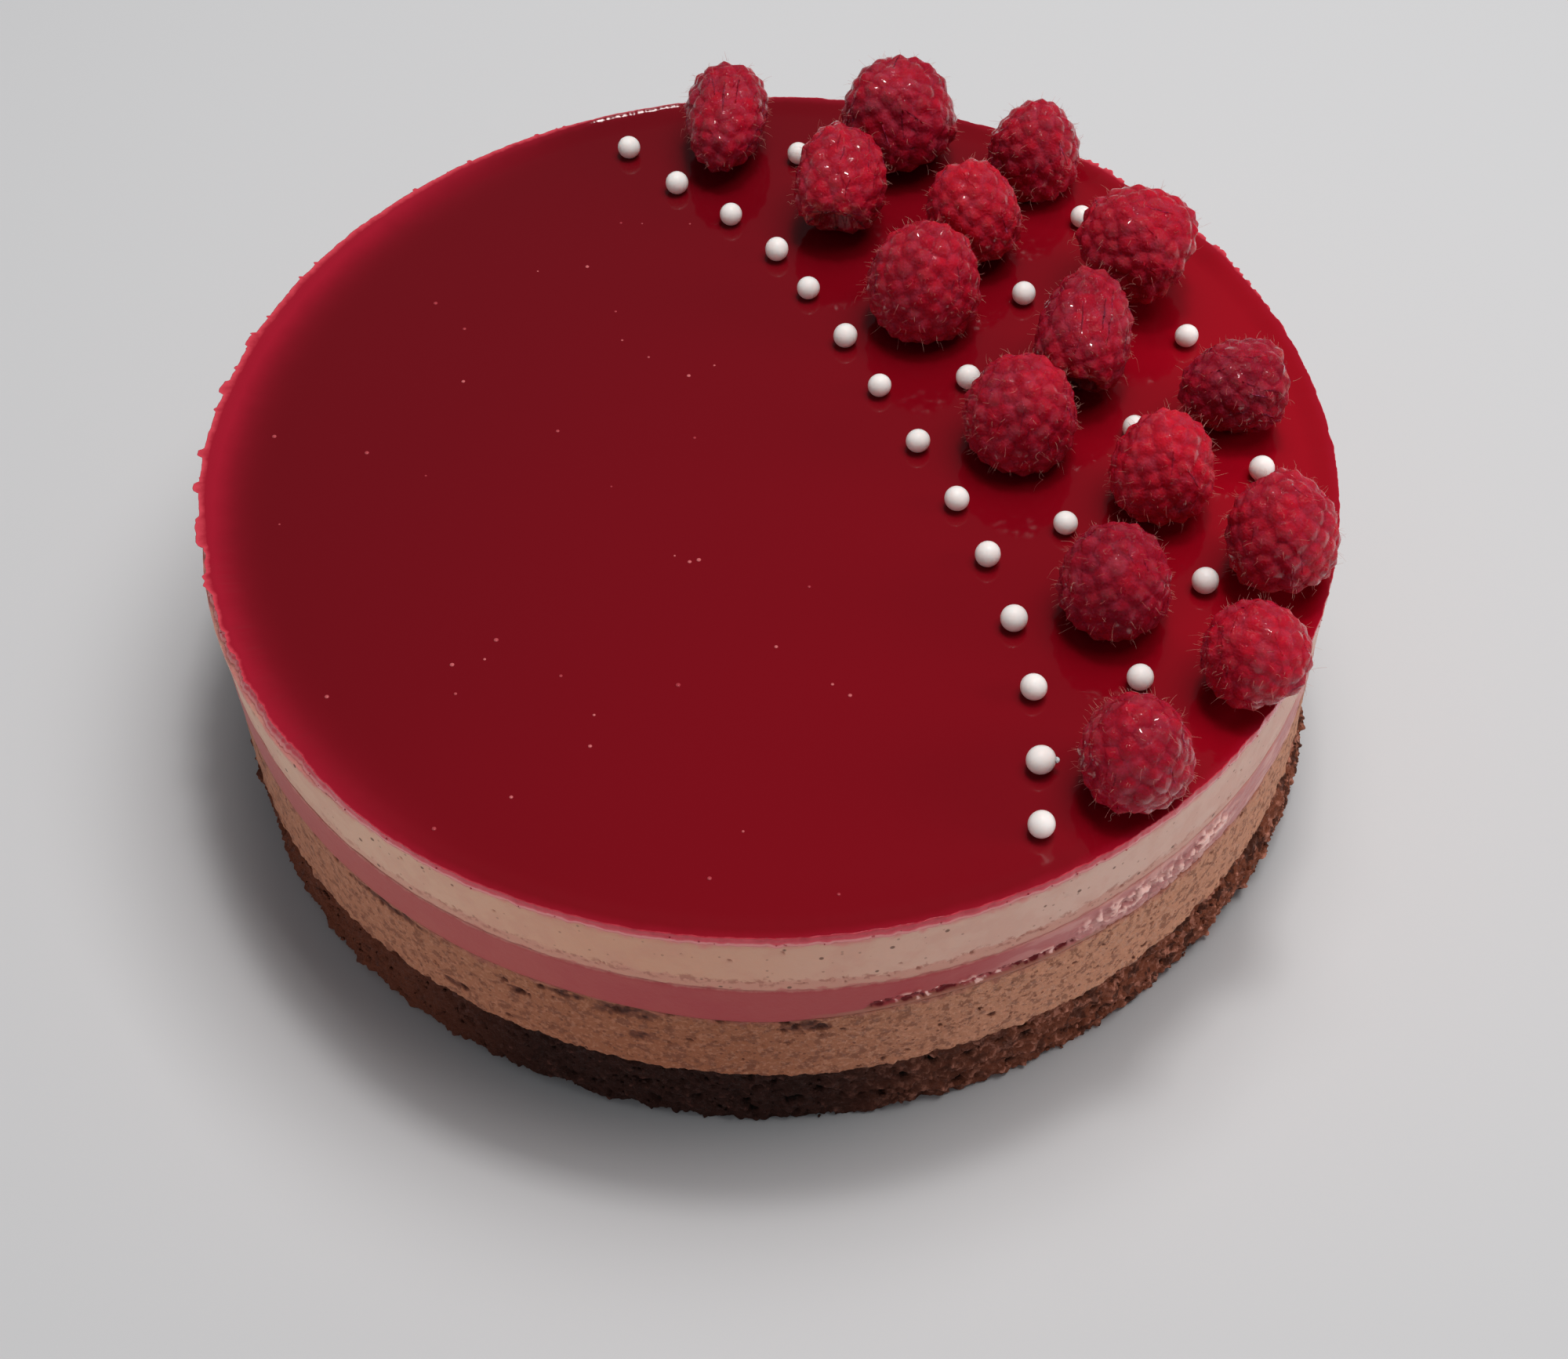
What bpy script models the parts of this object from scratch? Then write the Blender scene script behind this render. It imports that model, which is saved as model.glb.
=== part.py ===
"""Round raspberry mousse cake with whole raspberries and sugar pearls on a jelly glaze.

From the foot up: chocolate sponge, praline mousse, raspberry layer, vanilla cream and a
thin jelly glaze whose edge stands up in a ragged lip. The side seen in the photograph is -Y.
Metres, +Z up, with the origin at the centre of the sponge's foot.
"""

import math
import random
from dataclasses import dataclass
from typing import Callable

import bmesh
import bpy
from mathutils import Matrix, Vector, noise

Around = Callable[[float], float]  # a size as a function of the angle round the cake
Bulge = Callable[[float, float], float]  # a step outwards, by that angle and the share of a layer's height

MM = 0.001

# Driving dimensions of the cake
CAKE_RADIUS = 110.0 * MM
SPONGE_TOP = 17.5 * MM
GLAZE_TOP = 62.7 * MM
LIP_TOP = 63.5 * MM
LIP_WIDTH = 1.3 * MM
LIP_ROOT = 0.25 * MM  # how far the jelly has crept up where its flat top turns into the lip
GAP = 0.3 * MM  # clear space left between two neighbouring solids

# Heights of the seams between the hand-made layers, in millimetres, at angles round the cake.
SPONGE_HEAD = (
    (-140, 17.2), (-120, 18.2), (-100, 17.6), (-90, 17.0), (-75, 17.9), (-50, 17.6), (-35, 16.8),
    (20, 17.6), (90, 17.2), (150, 17.9),
)
PRALINE_HEAD = (
    (-150, 37.2), (-112, 37.0), (-92, 35.3), (-75, 36.9), (-64, 36.6), (-50, 35.9), (-30, 35.6),
    (40, 36.8), (110, 36.2), (165, 37.0),
)
RASPBERRY_HEAD = (
    (-150, 47.6), (-112, 47.3), (-90, 46.1), (-70, 45.3), (-50, 46.1), (-35, 45.0), (30, 46.6),
    (100, 47.2), (170, 46.9),
)
CREAM_HEAD = ((0, 60.8),)

# Unevenness of the layers
SPONGE_INSET = 0.8 * MM
SPONGE_CRAG = 1.0 * MM
SPONGE_FLAP = 2.6 * MM  # how far a torn piece of the sponge sticks out on the right
FLAP_AT = math.radians(-27)
CRAG_SIZE = 7.0 * MM
SEAM_SWAY = 0.2 * MM
MOUSSE_SWAY = 0.35 * MM
PRALINE_OVERHANG = 0.5 * MM
LIP_FLARE = 1.6 * MM  # how far the lip spreads outwards on the cake's back left
LIP_TOOTH = 1.5 * MM
TOOTH_SIZE = 3.1 * MM
FLARED_AT = math.radians(150)
TORN_AT = (math.radians(178), math.radians(38))  # where the lip is torn most, left and back right
TORN_ELSEWHERE = 0.15
LAYER_SEGMENTS = 96
GLAZE_SEGMENTS = 120

# Sugar pearls
PEARL_RADIUS = 2.45 * MM
PEARL_SINK = 0.25 * MM
PEARL_SIDES = 8
PEARL_BANDS = 5

# Raspberries
DRUPELETS = 80
DRUPELET_RISE = 0.3 * MM
GROOVE_DEPTH = 0.65 * MM
HOLLOW_DEPTH = 5.0 * MM
MOUTH_LEVEL = 0.3 * MM  # points below this level belong to the open end, which stays flat
WIDEST_SHARE = 0.32  # how far up a raspberry its widest girth lies, as a share of its length
MOUTH_SHARE = 0.78  # the open end's width as a share of the widest girth
MIDDLE_SHARE = 0.45  # a raspberry leans about this point, as a share of its length
SPIRAL_JITTER = 0.05
GOLDEN_ANGLE = math.pi * (3.0 - math.sqrt(5.0))

# Places of the pearls as x and y in millimetres: the long curved row, then the loose ones.
PEARL_ROW = (
    (-28.1, 92.7), (-17.7, 80.6), (-6.3, 70.1), (3.1, 58.7), (9.3, 46.8), (16.3, 32.4), (22.5, 18.1),
    (29.2, 2.6), (35.7, -12.9), (40.5, -27.2), (44.1, -43.0), (46.3, -59.1), (46.1, -75.5), (45.0, -89.1),
)
LOOSE_PEARLS = (
    (8.5, 89.1), (67.4, 66.0), (53.3, 43.2), (40.2, 19.6), (84.9, 29.4),
    (71.6, 4.4), (94.7, -7.6), (55.8, -19.9), (80.2, -35.4), (65.6, -57.6),
)


@dataclass(frozen=True)
class Berry:
    """One raspberry: its place and size in millimetres, and how its tip leans, in degrees."""

    x: float
    y: float
    girth: float
    length: float
    lean: float
    toward: float  # the way the tip leans, counted from +X towards +Y


BERRIES = (
    Berry(-6.9, 92.4, 17.6, 24.2, 98, 265),
    Berry(29.6, 90.4, 24.6, 21.6, 15, 140),
    Berry(17.1, 69.3, 19.1, 21.8, 62, 80),
    Berry(58.3, 79.6, 19.5, 19.6, 3, 60),
    Berry(43.4, 58.8, 19.2, 21.0, 20, 130),
    Berry(32.3, 38.8, 22.8, 22.9, 4, 100),
    Berry(75.4, 46.2, 22.6, 22.4, 64, 165),
    Berry(62.9, 21.4, 19.0, 23.4, 58, 75),
    Berry(48.6, 2.4, 22.3, 21.4, 3, 280),
    Berry(91.0, 8.0, 18.1, 20.7, 90, 185),
    Berry(74.3, -13.5, 19.6, 20.7, 8, 60),
    Berry(93.5, -31.7, 20.4, 21.6, 24, 110),
    Berry(62.1, -40.4, 20.7, 20.4, 7, 120),
    Berry(84.7, -58.4, 19.3, 17.6, 28, 145),
    Berry(61.5, -79.6, 19.9, 19.3, 14, 112),
)


def material(name: str, colour: tuple[float, float, float], roughness: float) -> bpy.types.Material:
    """A plain food surface of one colour."""
    made = bpy.data.materials.new(name)
    made.use_nodes = True
    shader = made.node_tree.nodes["Principled BSDF"]
    shader.inputs["Base Color"].default_value = (*colour, 1.0)
    shader.inputs["Roughness"].default_value = roughness
    shader.inputs["Metallic"].default_value = 0.0
    made.diffuse_color = (*colour, 1.0)
    return made


def add_object(name: str, bm: bmesh.types.BMesh, finish: bpy.types.Material) -> bpy.types.Object:
    """Puts a finished bmesh into the scene as one object."""
    bmesh.ops.recalc_face_normals(bm, faces=bm.faces)
    mesh = bpy.data.meshes.new(name)
    bm.to_mesh(mesh)
    bm.free()
    mesh.materials.append(finish)
    mesh.shade_smooth()
    mesh.set_sharp_from_angle(angle=math.radians(40))
    obj = bpy.data.objects.new(name, mesh)
    bpy.context.scene.collection.objects.link(obj)
    return obj


def on_rim(angle: float) -> Vector:
    """The point of the cake's rim circle at an angle, at height 0."""
    return Vector((math.cos(angle), math.sin(angle), 0.0)) * CAKE_RADIUS


def sway(angle: float, size: float, phase: float) -> float:
    """A gentle wave round the cake, with no mean, that joins up with itself."""
    broad = math.sin(2 * angle + phase)
    middle = math.sin(5 * angle + 2.3 * phase)
    fine = math.sin(11 * angle + 4.1 * phase)
    return size * (0.5 * broad + 0.32 * middle + 0.18 * fine)


def seam(course: tuple[tuple[float, float], ...], phase: float) -> Around:
    """The height of a seam that runs smoothly through the places of its course."""
    (first, first_height), (last, last_height) = course[0], course[-1]
    knots = [(last - 360, last_height), *course, (first + 360, first_height)]

    def height(angle: float) -> float:
        degrees = math.degrees(angle)
        after = next(number for number, knot in enumerate(knots) if knot[0] >= degrees)
        (start, low), (end, high) = knots[after - 1], knots[after]
        share = (degrees - start) / (end - start)
        share = share * share * (3 - 2 * share)
        return (low + share * (high - low)) * MM + sway(angle, SEAM_SWAY, phase)

    return height


def just_above(head: Around) -> Around:
    """The foot of a layer that lies on another one's head, clear of it by the gap."""
    return lambda angle: head(angle) + GAP


def turned(rings: list[tuple[Around, Around]], segments: int) -> bmesh.types.BMesh:
    """A closed round solid, one ring of points for each (radius, height) pair, from the foot up."""
    bm = bmesh.new()
    bmesh.ops.create_circle(bm, cap_ends=True, segments=segments, radius=1.0)
    bm.faces.ensure_lookup_table()
    bottom = top = bm.faces[0]
    for number, (radius, height) in enumerate(rings):
        if number:
            out = bmesh.ops.extrude_face_region(bm, geom=[top, *top.edges])
            top = next(item for item in out["geom"] if isinstance(item, bmesh.types.BMFace))
        for vert in top.verts:
            angle = math.atan2(vert.co.y, vert.co.x)
            reach = radius(angle)
            vert.co = (reach * math.cos(angle), reach * math.sin(angle), height(angle))
    bmesh.ops.poke(bm, faces=[bottom, top])
    return bm


def layer(
    name: str, foot: Around, head: Around, bulge: Bulge, rows: int, finish: bpy.types.Material
) -> bpy.types.Object:
    """A round layer between two seams, whose side is set out from the cake's radius by bulge."""

    def ring(share: float) -> tuple[Around, Around]:
        return (
            lambda angle: CAKE_RADIUS + bulge(angle, share),
            lambda angle: foot(angle) + share * (head(angle) - foot(angle)),
        )

    rings = [ring(row / rows) for row in range(rows + 1)]
    return add_object(name, turned(rings, LAYER_SEGMENTS), finish)


def mousse_side(phase: float) -> Bulge:
    """The nearly straight side of a layer set in a ring, drawn in a little at both seams."""
    return lambda angle, share: sway(angle, MOUSSE_SWAY, phase) - MOUSSE_SWAY * (1 + (2 * share - 1) ** 2)


def praline_side(angle: float, share: float) -> float:
    """The praline mousse swells over the sponge towards its lower edge."""
    return sway(angle, MOUSSE_SWAY, 2.9) - 2 * MOUSSE_SWAY + PRALINE_OVERHANG * (1 - share)


def sponge_side(angle: float, share: float) -> float:
    """Crumbly side of the sponge, set back a little from the mousse above it."""
    place = on_rim(angle)
    place.z = share * SPONGE_TOP
    crag = SPONGE_CRAG * noise.noise(place / CRAG_SIZE)
    flap = SPONGE_FLAP * max(0.0, math.cos(angle - FLAP_AT)) ** 30 * math.sin(math.pi * share) ** 0.5
    return crag + flap + sway(angle, 0.5 * SPONGE_CRAG, 0.7) - SPONGE_INSET


def tear(angle: float) -> float:
    """How far the lip is torn into teeth where the cake left its ring, from 0 to about 1."""
    worn = sum(max(0.0, math.cos(angle - at)) ** 6 for at in TORN_AT)
    return max(0.0, noise.noise(on_rim(angle) / TOOTH_SIZE)) * (TORN_ELSEWHERE + worn)


def lip_height(angle: float) -> float:
    """Height of the glaze's thin lip."""
    return LIP_TOP + LIP_TOOTH * tear(angle)


def lip_radius(angle: float) -> float:
    """Outer radius of the glaze's lip."""
    spread = max(0.0, math.cos(angle - FLARED_AT)) ** 2
    return CAKE_RADIUS + LIP_FLARE * spread + LIP_TOOTH * tear(angle)


def glaze_disc(foot: Around) -> bmesh.types.BMesh:
    """The jelly glaze without its pearls: a disc with a thin raised lip round a flat top."""
    rings = [
        (lambda angle: CAKE_RADIUS - MOUSSE_SWAY, foot),
        (lambda angle: CAKE_RADIUS, lambda angle: 0.5 * (foot(angle) + GLAZE_TOP)),
        (lip_radius, lip_height),
        (lambda angle: lip_radius(angle) - 0.5 * LIP_WIDTH, lip_height),
        (lambda angle: CAKE_RADIUS - LIP_WIDTH, lambda angle: GLAZE_TOP + LIP_ROOT),
        (lambda angle: CAKE_RADIUS - 3 * LIP_WIDTH, lambda angle: GLAZE_TOP),
    ]
    return turned(rings, GLAZE_SEGMENTS)


def pearl(place: tuple[float, float]) -> bpy.types.Object:
    """One sugar pearl, pressed a little into the glaze."""
    bm = bmesh.new()
    bmesh.ops.create_uvsphere(bm, u_segments=PEARL_SIDES, v_segments=PEARL_BANDS, radius=PEARL_RADIUS)
    centre = (place[0] * MM, place[1] * MM, GLAZE_TOP + PEARL_RADIUS - PEARL_SINK)
    bmesh.ops.translate(bm, verts=bm.verts, vec=centre)
    mesh = bpy.data.meshes.new("pearl")
    bm.to_mesh(mesh)
    bm.free()
    return bpy.data.objects.new("pearl", mesh)


def fuse(obj: bpy.types.Object, toppings: bpy.types.Collection) -> None:
    """Joins every object of a collection to obj in one Boolean union, and removes them."""
    union = obj.modifiers.new("toppings", "BOOLEAN")
    union.operation = "UNION"
    union.operand_type = "COLLECTION"
    union.collection = toppings
    union.solver = "EXACT"
    graph = bpy.context.evaluated_depsgraph_get()
    fused = bpy.data.meshes.new_from_object(obj.evaluated_get(graph))
    obj.modifiers.clear()
    obj.data = fused
    for item in list(toppings.objects):
        bpy.data.objects.remove(item)
    bpy.data.collections.remove(toppings)


def glaze(foot: Around) -> bpy.types.Object:
    """The glaze with its sugar pearls fused on."""
    obj = add_object("glaze", glaze_disc(foot), material("glaze", (0.20, 0.004, 0.012), 0.08))
    pearls = bpy.data.collections.new("pearls")
    bpy.context.scene.collection.children.link(pearls)
    for place in PEARL_ROW + LOOSE_PEARLS:
        pearls.objects.link(pearl(place))
    fuse(obj, pearls)
    return obj


def berry_radius(share: float) -> float:
    """A raspberry's half width over its widest one, from the open end (0) to the tip (1)."""
    if share < WIDEST_SHARE:
        below = (WIDEST_SHARE - share) / WIDEST_SHARE
        return 1 - (1 - MOUTH_SHARE) * below**2
    above = (share - WIDEST_SHARE) / (1 - WIDEST_SHARE)
    return max(0.0, 1 - above**2.2) ** 0.56


def drupelet_centres(girth: float, length: float, count: int, rng: random.Random) -> list[Vector]:
    """Drupelet centres spread evenly over a berry on a golden spiral, from open end to tip."""
    steps = 400
    areas = [0.0]
    for step in range(steps):
        low = berry_radius(step / steps)
        high = berry_radius((step + 1) / steps)
        slant = math.hypot((high - low) * girth / 2, length / steps)
        areas.append(areas[-1] + (low + high) * slant)
    centres = []
    step = 0
    for number in range(count):
        wanted = areas[-1] * (number + 0.5) / count
        while areas[step + 1] < wanted:
            step += 1
        share = (step + (wanted - areas[step]) / (areas[step + 1] - areas[step])) / steps
        angle = number * GOLDEN_ANGLE + rng.uniform(-SPIRAL_JITTER, SPIRAL_JITTER)
        reach = berry_radius(share) * girth / 2
        centres.append(Vector((reach * math.cos(angle), reach * math.sin(angle), share * length)))
    return centres


def raspberry_body(girth: float, length: float, rng: random.Random) -> bmesh.types.BMesh:
    """A raspberry standing on its open end: a six-sided bump for each drupelet, and a hollow core."""
    bm = bmesh.new()
    for centre in drupelet_centres(girth, length, DRUPELETS, rng):
        bm.verts.new(centre)
    mouth = bm.verts.new((0.0, 0.0, -0.5 * MOUTH_LEVEL))
    bmesh.ops.convex_hull(bm, input=bm.verts)
    ridges = list(bm.edges)
    crowns = set(bm.verts)
    bmesh.ops.poke(bm, faces=bm.faces[:])
    bmesh.ops.rotate_edges(bm, edges=ridges, use_ccw=False)
    middle = Vector((0.0, 0.0, WIDEST_SHARE * length))
    for vert in bm.verts:
        if vert.co.z > MOUTH_LEVEL:
            step = DRUPELET_RISE if vert in crowns else -GROOVE_DEPTH
            vert.co += step * (vert.co - middle).normalized()
    mouth.co.z = HOLLOW_DEPTH
    return bm


def raspberry(number: int, berry: Berry, finish: bpy.types.Material) -> bpy.types.Object:
    """One raspberry, leaned over its own middle and let down until it clears the glaze."""
    bm = raspberry_body(berry.girth * MM, berry.length * MM, random.Random(number))
    bmesh.ops.translate(bm, verts=bm.verts, vec=(0.0, 0.0, -MIDDLE_SHARE * berry.length * MM))
    lean = Matrix.Rotation(math.radians(berry.lean), 4, "Y")
    turn = Matrix.Rotation(math.radians(berry.toward), 4, "Z")
    bmesh.ops.transform(bm, matrix=turn @ lean, verts=bm.verts)
    lowest = min(vert.co.z for vert in bm.verts)
    bmesh.ops.translate(bm, verts=bm.verts, vec=(berry.x * MM, berry.y * MM, GLAZE_TOP + GAP - lowest))
    return add_object(f"raspberry_{number:02d}", bm, finish)


def cake_layers() -> None:
    """The four soft layers and the glaze, each clear of the next by the same narrow gap."""
    sponge_head = seam(SPONGE_HEAD, 0.4)
    praline_head = seam(PRALINE_HEAD, 3.6)
    raspberry_head = seam(RASPBERRY_HEAD, 1.9)
    cream_head = seam(CREAM_HEAD, 5.2)
    crumb = material("sponge", (0.030, 0.013, 0.009), 0.9)
    praline = material("praline_mousse", (0.20, 0.085, 0.048), 0.75)
    rose = material("raspberry_layer", (0.26, 0.052, 0.060), 0.45)
    cream = material("cream_mousse", (0.42, 0.27, 0.20), 0.6)
    layer("sponge", lambda angle: 0.0, sponge_head, sponge_side, 5, crumb)
    layer("praline_mousse", just_above(sponge_head), praline_head, praline_side, 3, praline)
    layer("raspberry_layer", just_above(praline_head), raspberry_head, mousse_side(0.3), 2, rose)
    layer("cream_mousse", just_above(raspberry_head), cream_head, mousse_side(4.4), 2, cream)
    glaze(just_above(cream_head))


def main() -> None:
    """Clears the scene and builds the cake."""
    for obj in list(bpy.data.objects):
        bpy.data.objects.remove(obj)
    cake_layers()
    flesh = material("raspberry", (0.35, 0.008, 0.030), 0.4)
    for number, berry in enumerate(BERRIES, start=1):
        raspberry(number, berry, flesh)


main()
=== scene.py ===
"""Looks of a round raspberry mousse cake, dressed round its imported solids.

Every solid is replaced by a finer piece that follows its form: layers with pitted and crumbly
sides, a glossy jelly with a torn lip, sugar pearls, and raspberries with each drupelet and hair.
Metres, +Z up; the side that faces the camera is -Y. Sizes of patterns are in millimetres.
"""

import logging
import math
import random
from collections.abc import Callable, Iterable
from dataclasses import dataclass
from enum import Enum
from functools import cache, partial

import bmesh
import bpy
from mathutils import Matrix, Vector, noise
from mathutils.bvhtree import BVHTree
from mathutils.kdtree import KDTree


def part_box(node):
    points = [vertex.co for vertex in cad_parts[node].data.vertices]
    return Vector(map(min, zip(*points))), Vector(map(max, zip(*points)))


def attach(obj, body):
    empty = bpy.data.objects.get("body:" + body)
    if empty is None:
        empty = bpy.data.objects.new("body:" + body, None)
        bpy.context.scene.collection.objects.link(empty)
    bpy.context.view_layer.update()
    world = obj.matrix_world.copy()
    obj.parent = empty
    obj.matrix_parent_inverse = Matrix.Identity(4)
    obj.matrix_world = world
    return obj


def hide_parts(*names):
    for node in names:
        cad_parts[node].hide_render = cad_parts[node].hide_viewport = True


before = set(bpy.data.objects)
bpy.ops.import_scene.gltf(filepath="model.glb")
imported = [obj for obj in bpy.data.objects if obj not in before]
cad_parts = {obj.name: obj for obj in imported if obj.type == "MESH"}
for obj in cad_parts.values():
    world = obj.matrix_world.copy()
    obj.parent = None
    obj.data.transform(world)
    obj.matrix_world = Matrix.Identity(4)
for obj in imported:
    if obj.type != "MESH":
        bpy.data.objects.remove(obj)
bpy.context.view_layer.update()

LOG = logging.getLogger("cake")
MM = 0.001
FULL_TURN = 2.0 * math.pi
GOLDEN_ANGLE = math.pi * (3.0 - math.sqrt(5.0))
UP = Vector((0.0, 0.0, 1.0))
NOISE_SEED = 1  # noise vectors would differ from run to run without it
LAYER_GAP = 0.3 * MM  # the solids keep this gap, which the dressed layers close
FAR_OUT = 0.3  # where rays at the solids start, well outside the cake
COARSE = (0.8, 2.1)  # fractal noise: how fast it fades, and how much finer each octave is
SOFT = (0.9, 2.0)

Triple = tuple[float, float, float]  # a place, a size or a stretch
Colour = tuple[float, float, float]
Row = tuple[float, float, float, float]  # radius, height, cavity and level of a point
Ring = Callable[[float], Row]  # the points of a row, by their angle


class Direction(Enum):
    """Sides of the cake that differ, as angles from +X towards +Y in degrees."""

    FRONT = -90.0
    FRONT_LEFT = -112.0
    CRACKED = -72.0  # where the raspberry layer has a crack
    LEDGE = -51.0  # where cream is smeared over it
    RIGHT = -30.0
    FAR_RIGHT = 0.0
    BACK_RIGHT = 38.0
    BACK = 103.0
    BACK_LEFT = 145.0
    LEFT = 176.0
    LOWER_LEFT = -156.0

    @property
    def angle(self) -> float:
        """The side's angle in radians."""
        return math.radians(self.value)


# ---------------------------------------------------------------------------------------------
# Small maths
# ---------------------------------------------------------------------------------------------


def smooth(value: float, low: float, high: float) -> float:
    """Rises softly from 0 at low to 1 at high."""
    share = min(1.0, max(0.0, (value - low) / (high - low)))
    return share * share * (3.0 - 2.0 * share)


def bell(value: float, middle: float, width: float) -> float:
    """1 at the middle, and less the further a value lies from it."""
    return math.exp(-(((value - middle) / width) ** 2))


def window(angle: float, side: Direction, half_width: float) -> float:
    """How much an angle belongs to one side of the cake.

    Args:
        angle: The angle round the cake, in radians.
        side: The middle of the side.
        half_width: How far the side reaches each way, in degrees.

    Returns:
        1 in the middle, falling softly to 0 at the half width.
    """
    off = abs(math.remainder(angle - side.angle, FULL_TURN))
    return 1.0 - smooth(off, 0.35 * math.radians(half_width), math.radians(half_width))


def on_side(angle: float, radius: float, height: float) -> Vector:
    """The point at an angle, a radius and a height."""
    return Vector((radius * math.cos(angle), radius * math.sin(angle), height))


def stretched(place: Vector, upward: float) -> Vector:
    """A point with its height multiplied."""
    return Vector((place.x, place.y, upward * place.z))


def anywhere(rng: random.Random) -> Vector:
    """A random point in the cube from -1 to 1."""
    return Vector(rng.uniform(-1, 1) for _ in range(3))


def wave(place: Vector, length: float) -> float:
    """Smooth noise from -1 to 1, whose waves have a length in millimetres."""
    return noise.noise(place / (length * MM))


def fractal(place: Vector, length: float, kind: tuple[float, float], octaves: int) -> float:
    """Ragged noise around 0, whose longest waves have a length in millimetres."""
    return noise.fractal(place / (length * MM), *kind, octaves)


def pits(place: Vector, spacing: float, share: float, size: float, lift: float = 0.0) -> float:
    """How deep a point lies in the open bubble nearest to it.

    Args:
        place: The point, in metres.
        spacing: The usual distance between two bubbles, in millimetres.
        share: The share of the places that really have a bubble, from 0 to 1.
        size: The largest bubble's radius over the spacing.
        lift: How far up the pattern is read, so that two sets of bubbles differ.

    Returns:
        1 at the middle of a bubble, 0 at its rim and outside it.
    """
    place = place + lift * UP
    step = spacing * MM
    distances, centres = noise.voronoi(place / step + 0.22 * noise.noise_vector(place * (2.1 / step)))
    if 0.5 + 0.5 * noise.cell(centres[0] * 57.0) > share:
        return 0.0
    radius = size * (0.65 + 0.35 * noise.cell(centres[0] * 91.0))
    return max(0.0, 1.0 - (distances[0] / radius) ** 2)


# ---------------------------------------------------------------------------------------------
# Shader tools
# ---------------------------------------------------------------------------------------------


class Value:
    """A node's output that takes part in sums and products; each one adds a Math node."""

    def __init__(self, graph: "Graph", socket: bpy.types.NodeSocket) -> None:
        """Wraps one socket of a graph."""
        self.graph = graph
        self.socket = socket

    def __add__(self, other: "Value | float") -> "Value":
        """The sum."""
        return self.graph.math("ADD", self, other)

    __radd__ = __add__

    def __sub__(self, other: "Value | float") -> "Value":
        """The difference."""
        return self.graph.math("SUBTRACT", self, other)

    def __rsub__(self, other: float) -> "Value":
        """A number less this value."""
        return self.graph.math("SUBTRACT", other, self)

    def __mul__(self, other: "Value | float") -> "Value":
        """The product."""
        return self.graph.math("MULTIPLY", self, other)

    __rmul__ = __mul__


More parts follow.
